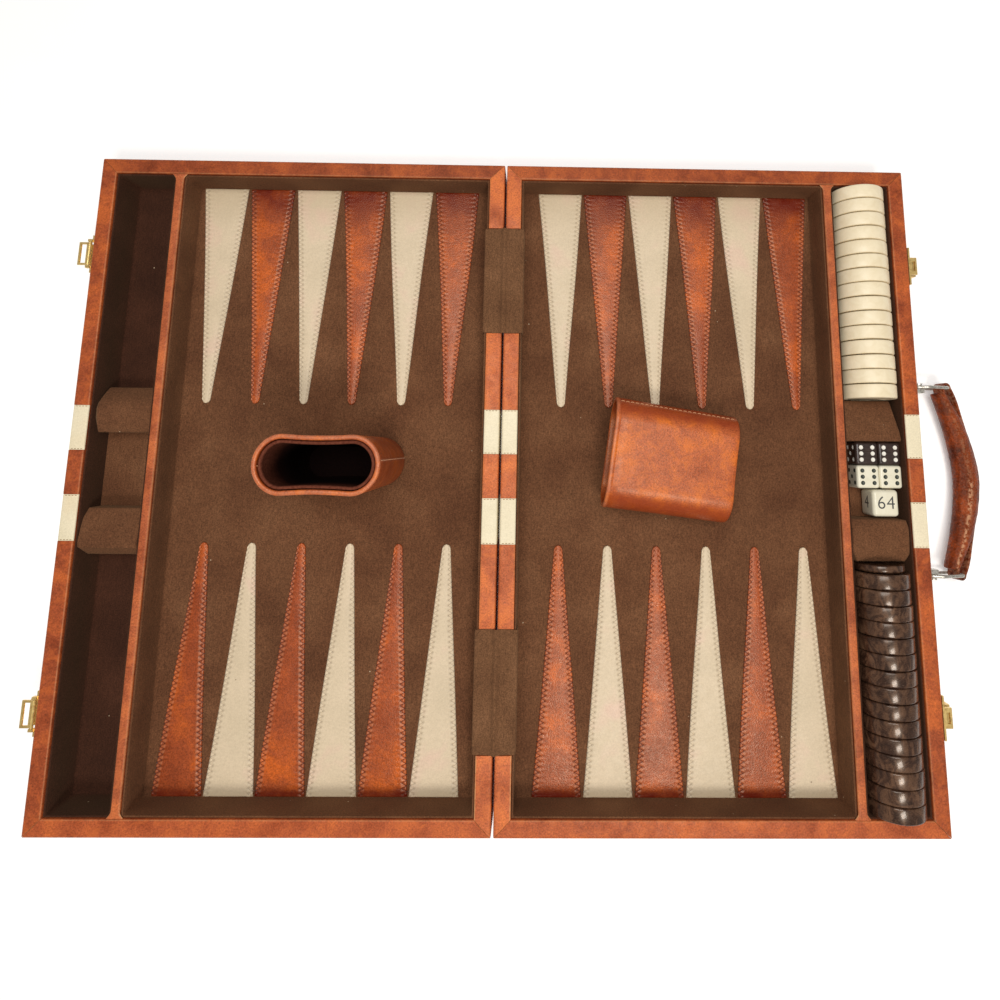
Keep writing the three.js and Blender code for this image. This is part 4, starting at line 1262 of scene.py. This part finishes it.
def cup_cover(body, place, seam, liner_top, end_shade_strength):
    """The outer leather: rounded foot, turned-over rim, and the inner face down to behind the lining.

    The last argument is how strongly painted shade darkens the rounded ends.
    """
    h = CUP_HEIGHT
    levels = [(7.0, 0.25), (2.0, 0.05), (0.9, 0.2), (0.25, 0.9), (0.0, 2.2)]
    levels += [(0.0, z) for z in range(6, 80, 6)]
    levels += [(0.0, h - 4.6), (0.3, h - 3.9), (0.3, h - 3.5), (-0.1, h - 2.8), (-0.15, h - 1.1)]
    levels += [(0.15, h - 0.35)]
    levels += [(0.8, h - 0.02), (2.0, h - 0.02), (2.7, h - 0.4), (2.9, h - 1.1), (2.8, liner_top - 0.5)]
    levels += [(2.7, liner_top - 4), (2.6, 40), (2.6, 3)]
    rings, wear_and_sheen, painted_end_shade = [], [], []
    for inset, z in levels:
        ring = []
        for j, p in enumerate(cup_outline(inset, z)):
            gap = abs((j - seam + CUP_STEPS // 2) % CUP_STEPS - CUP_STEPS // 2)
            groove = 0.22 * math.exp(-((gap / 0.9) ** 2)) if inset < 2.5 and z > 1 else 0
            p = p * (1 - groove / max(8.0, p.length))
            dent = 0.25 * noise.noise(Vector((p.x * 0.05, p.y * 0.05, z * 0.03))) - 0.2
            p = p * (1 + dent / max(8.0, p.length))
            ring.append(place((p.x, p.y, z)))
            # A pale line down the seam, and a painted highlight along the top of the rim.
            top = 0.3 if -0.2 < inset < 2.5 and z > h - 1.5 else 0.0
            wear_and_sheen.append(max(0.35 if gap < 1 and inset < 1.4 and z > 1 else 0.0, top))
            # Painted shade on the rounded ends, kept off the rim.
            at_end = step_smooth(abs(p.x), CUP_A - 14, CUP_A - 8)
            painted_end_shade.append(0.0 if z > h - 2.6 and inset < 2.6 else end_shade_strength * at_end)
        rings.append(ring)
    make(f"{body}_cover", skin(rings), CUP_LEATHER, body, [f"{body}_shell"],
         {"wear_and_sheen": wear_and_sheen, "painted_end_shade": painted_end_shade}, smooth=50)


def cup_lining(body, place, liner_top):
    """The thin lining, whose rounded edge stands inside the rim with a narrow gap between."""
    top = liner_top
    profile = [(3.2, 4.0), (3.2, top - 5), (3.5, top - 0.8), (4.0, top - 0.15), (4.7, top), (5.3, top - 0.4),
               (5.6, top - 1.3), (5.4, top - 3), (5.2, top - 8), (5.1, top - 16), (5.1, top - 28), (5.1, 40),
               (5.1, 24), (5.3, 8.0), (6.6, 5.4), (9.0, 5.0), (12, 5.0), (15.2, 5.0)]
    ribs, deep = [], []
    for inset, z in profile:
        outline = cup_outline(inset, z)
        ribs.append([place((p.x, p.y, z)) for p in outline])
        # Painted shade, growing with depth inside the cup.
        inside = inset > 4.4 and z < top - 0.5
        deep += [step_smooth(top - z, 3.0, 34.0) if inside else 0.0] * len(outline)
    points, faces = skin(ribs, capped=False)
    faces.append(tuple(range(CUP_STEPS)))
    last = len(points) - CUP_STEPS
    half = CUP_STEPS // 2
    for j in range(half - 1):  # the bottom, as strips across the narrow way
        a, b = last + (END_STEPS // 2 + j) % CUP_STEPS, last + (END_STEPS // 2 + j + 1) % CUP_STEPS
        c, d = last + (END_STEPS // 2 - j - 1) % CUP_STEPS, last + (END_STEPS // 2 - j) % CUP_STEPS
        faces.append((a, b, c, d) if a != d else (a, b, c))
    faces.append(tuple(last + (END_STEPS // 2 + k) % CUP_STEPS for k in (half - 1, half, half + 1)))
    make(f"{body}_lining", (points, faces), LINER, body, [f"{body}_liner"],
         {"deep": deep}, smooth=50)


def cup_stitches(body, place, seam):
    """One row of stitches down the seam, and the thread end that crosses to the lining."""
    stitches = []
    for n in range(24):
        z0 = 3.4 + n * 3.4
        ends = []
        for z, out in ((z0, -0.1), (z0 + 0.4, 0.2), (z0 + 1.7, 0.2), (z0 + 2.1, -0.1)):
            p = cup_outline(-out, z)[seam]
            ends.append(place((p.x, p.y, z)))
        stitches.append(tube(ends, 0.28, 5))
    across = [place((-CUP_A + 2.2 + reach, -1.0, CUP_HEIGHT - 1.7 - 0.3 * reach))
              for reach in (0, 0.8, 1.6, 2.4)]
    stitches.append(tube(across, 0.2, 5))
    make(f"{body}_stitches", joined(*stitches), THREAD_TAN, body, smooth=80)


def build_cups():
    """The standing cup and the lying one."""
    recess = {"standing": 1.4, "lying": 4.4}
    seams = {"standing": 22, "lying": 13}
    for which, place in cup_places().items():
        liner_top = CUP_HEIGHT - recess[which]
        # Painted shade on the cups' rounded ends, stronger on the lying cup.
        cup_cover(f"cup_{which}", place, seams[which], liner_top, 0.35 if which == "standing" else 0.7)
        cup_lining(f"cup_{which}", place, liner_top)
        cup_stitches(f"cup_{which}", place, seams[which])


# ---------------------------------------------------------------- handle
HANDLE_JOINT = next(j for j in frame["joints"] if j["name"] == "handle_swing")
PIVOT = Vector(HANDLE_JOINT["pos_m"]) / MM - Vector((FOLD_X, 0, 0))
TILT = math.radians(15)
GRIP_REACH = 63.6
RING_Y = 67.0


def hung(r, y, z):
    """A handle point: r out from the pivot and z above it, before the handle drops to its rest tilt."""
    x2 = r * math.cos(TILT) + z * math.sin(TILT)
    z2 = -r * math.sin(TILT) + z * math.cos(TILT)
    return (PIVOT.x + x2, y, PIVOT.z + z2)


def grip_edge(y, outer):
    """How far out the grip's outer or inner edge is, at a place along it."""
    middle = 1 - min(1.0, abs(y) / GRIP_REACH) ** 1.7
    wide = 5.4 + 4.2 * middle ** 0.8
    return 17.9 + 19.0 * middle + (wide if outer else -wide)


def bump_at(value, peak, width):
    """1 at the peak, falling off smoothly on both sides."""
    return math.exp(-(((value - peak) / width) ** 2))


def build_grip():
    """The padded grip: fuller in the middle, creased along its outer side, puckered, closed at its ends."""
    rings, wear_and_sheen, crown = [], [], []
    sides, rows = 40, 96
    for i in range(rows + 1):
        t = 2 * i / rows - 1
        y = GRIP_REACH * math.copysign(abs(t) ** 0.9, t)
        end = min(1.0, (GRIP_REACH - abs(y)) / 1.8)
        inner = grip_edge(y, False)
        outer = grip_edge(y, True) + 0.3 - 2.2 * step_smooth(abs(y), 38, 60)
        centre, wide = (inner + outer) / 2, (outer - inner) / 2
        thick = 5.4 + 1.1 * (1 - min(1, abs(y) / GRIP_REACH) ** 2)
        close = math.sqrt(max(0.06, end * (2 - end)))
        ring = []
        for a in around(sides):
            c, s = (math.copysign(abs(v) ** 0.85, v) for v in (math.cos(a), math.sin(a)))
            crease = bump_at(a, math.radians(52), 0.11)
            pucker = noise.noise(Vector((y * 0.35, a * 2.2, 1.0))) * 0.22
            pucker += crease * 0.35 * noise.noise(Vector((y * 0.8, 0, 4.0)))
            scale = close * (1 - 0.075 * crease) + pucker / 8
            fold = 0.35 * bump_at(y, 4.0, 0.8) * max(0.0, s)
            ring.append(hung(centre + wide * c * scale, y, thick * s * scale - fold))
            wear_and_sheen.append((0.75 if y < 0 else 0.2) * bump_at(a, math.radians(104), 0.15))
            # Where the painted highlight falls: along the top of the grip.
            crown.append(0.75 * bump_at(a, math.radians(90), 0.45))
        rings.append(ring)
    grip = make("grip_padding", skin(rings), HIDE, "handle", ["handle_grip"],
                {"wear_and_sheen": wear_and_sheen, "crown": crown}, smooth=70)


def strap_path():
    """The strap's run as (r, y): from inside the grip round one ring, along the grip and round the other."""
    bar_r, bar_gap = 21.7, 3.0
    leg = [(22.0, 46.0), (20.5, 56.0), (bar_r - bar_gap, RING_Y - 2.0)]
    leg += arc(bar_r, RING_Y, bar_gap, 180, 0, 8)
    for y in (64, 60, 55, 50, 44, 38, 30, 20, 10):
        lift = 1.6 * step_smooth(y, 30, 46) + 3.6 * step_smooth(y, 42, 66)
        leg.append((grip_edge(y, True) - 2.0 + lift, y))
    return leg + [(r, -y) for r, y in reversed(leg)]


def build_strap():
    """The flat leather strap that holds both rings, widest where it passes round them."""
    path = strap_path()
    rings = []
    for i, (r, y) in enumerate(path):
        along = (Vector(path[min(len(path) - 1, i + 1)]) - Vector(path[max(0, i - 1)])).normalized()
        across = Vector((along.y, -along.x))
        wide = 3.6 + 0.8 * step_smooth(abs(y), 40, 60)
        section = [(-0.8, -wide), (-0.9, -wide + 0.6), (-0.9, 0), (-0.9, wide - 0.6), (-0.8, wide),
                   (-0.35, wide + 0.35), (0.35, wide + 0.35), (0.8, wide), (0.9, wide - 0.6), (0.9, 0),
                   (0.9, -wide + 0.6), (0.8, -wide), (0.35, -wide - 0.35), (-0.35, -wide - 0.35)]
        rings.append([hung(r + across.x * u, y + across.y * u, z) for u, z in section])
    points, faces = skin(rings)
    make("grip_strap", (points, faces), HIDE, "handle", marks={"wear_and_sheen": [0.2] * len(points)},
         smooth=60)


def rounded(loop, per=4):
    """A closed Catmull-Rom curve through the points."""
    out = []
    count = len(loop)
    for i in range(count):
        a, b, c, d = (Vector(loop[(i + k) % count]) for k in (-1, 0, 1, 2))
        for s in range(per):
            t = s / per
            p = 0.5 * ((2 * b) + (c - a) * t + (2 * a - 5 * b + 4 * c - d) * t * t
                       + (3 * b - a - 3 * c + d) * t ** 3)
            out.append((p.x, p.y))
    return out


def build_handle():
    """Grip, strap, the two rings and their posts."""
    build_grip()
    build_strap()
    side = [(-2.9, -1.7), (0.5, -4.0), (4.0, -6.1), (7.5, -6.3), (18.6, -6.3), (20.9, -5.6), (21.7, -3.4)]
    loop = side + [(r, -z) for r, z in reversed(side)]
    for end, far in ENDS.items():
        ring = [hung(r, far * RING_Y, z) for r, z in rounded(loop)]
        make(f"ring_{end}", tube(ring, 1.2, 12, closed=True), NICKEL, "handle",
             [f"handle_ring_{end}"], smooth=70)
        soften(f"handle_post_{end}", NICKEL, 0.5, 3)


# ---------------------------------------------------------------- hardware and panels kept from the frame
def finish_hardware():
    """Hasps, staples and base panels: the CAD's own shapes with eased edges."""
    for end in ENDS:
        soften(f"hasp_{end}_plate", BRASS, 0.3, 3)
        soften(f"hasp_{end}_loop", BRASS, 0.25, 3)
        soften(f"staple_{end}", BRASS, 0.3, 3)
    for label in SIDES:
        soften(f"{label}_base", LEATHER, 0.5)


# ---------------------------------------------------------------- camera, light, floor
def build_camera(scene):
    """The photo's camera, as fitted to the case's corners."""
    camera = bpy.data.objects.new("camera", bpy.data.cameras.new("camera"))
    scene.collection.objects.link(camera)
    scene.camera = camera
    camera.data.sensor_width = 36
    camera.data.lens = 23.75
    camera.data.shift_x = -0.0470
    camera.data.shift_y = -0.16
    camera.data.clip_start = 0.01
    camera.matrix_world = facing(Vector((0.9998, 0.0108, 0.0175)), Vector((-0.0134, 0.9878, 0.1554)),
                                 Vector((-0.0156, -0.1556, 0.9877)), Vector((0.00504, 0.0225, 0.5024)))


def softbox(scene, name, spot, size, power, tint):
    """A rectangular lamp that points at the middle of the case."""
    data = bpy.data.lights.new(name, "AREA")
    data.shape = "RECTANGLE"
    data.size, data.size_y = size
    data.energy = power
    data.color = tint
    lamp = bpy.data.objects.new(name, data)
    scene.collection.objects.link(lamp)
    lamp.location = spot
    lamp.rotation_euler = (-Vector(spot)).to_track_quat("-Z", "Y").to_euler()


def build_floor(scene):
    """White paper, bright enough to keep the photo's white ground."""
    paper = Look("floor_paper", rough=0.9, specular=0.1)
    paper.set("Base Color", paper.span(paper.noise(60.0, 2.0), 0.93, 0.95))
    paper.set("Emission Color", (1, 1, 1, 1))
    paper.set("Emission Strength", 0.22)
    size = 3.0
    data = bpy.data.meshes.new("floor")
    corners = [(-size, -size, 0), (size, -size, 0), (size, size, 0), (-size, size, 0)]
    data.from_pydata(corners, [], [(0, 1, 2, 3)])
    data.materials.append(paper.material)
    floor = bpy.data.objects.new("floor", data)
    scene.collection.objects.link(floor)
    floor.location.z = CAD_BOX[0][2] - 0.0005


def build_stage():
    """The photo's camera, its two soft lights, a warm dim world and a white floor."""
    scene = bpy.context.scene
    build_camera(scene)
    scene.world = bpy.data.worlds.new("world")
    scene.world.use_nodes = True
    background = scene.world.node_tree.nodes["Background"].inputs
    background["Color"].default_value = (1.0, 0.985, 0.96, 1)
    background["Strength"].default_value = 0.26
    softbox(scene, "key", (0.28, -0.66, 1.32), (0.4, 0.3), 7.5, (1.0, 0.95, 0.88))
    softbox(scene, "top", (-0.02, 0.16, 1.25), (0.75, 0.6), 9.5, (1.0, 0.98, 0.95))
    build_floor(scene)
    scene.view_settings.view_transform = "Standard"
    scene.view_settings.look = "None"


build_stage()
build_rails()
build_stripes()
build_dividers()
build_linings()
build_dice_wells()
build_points()
build_bands()
build_checkers()
build_dice()
build_doubling_cube()
build_cups()
build_handle()
finish_hardware()
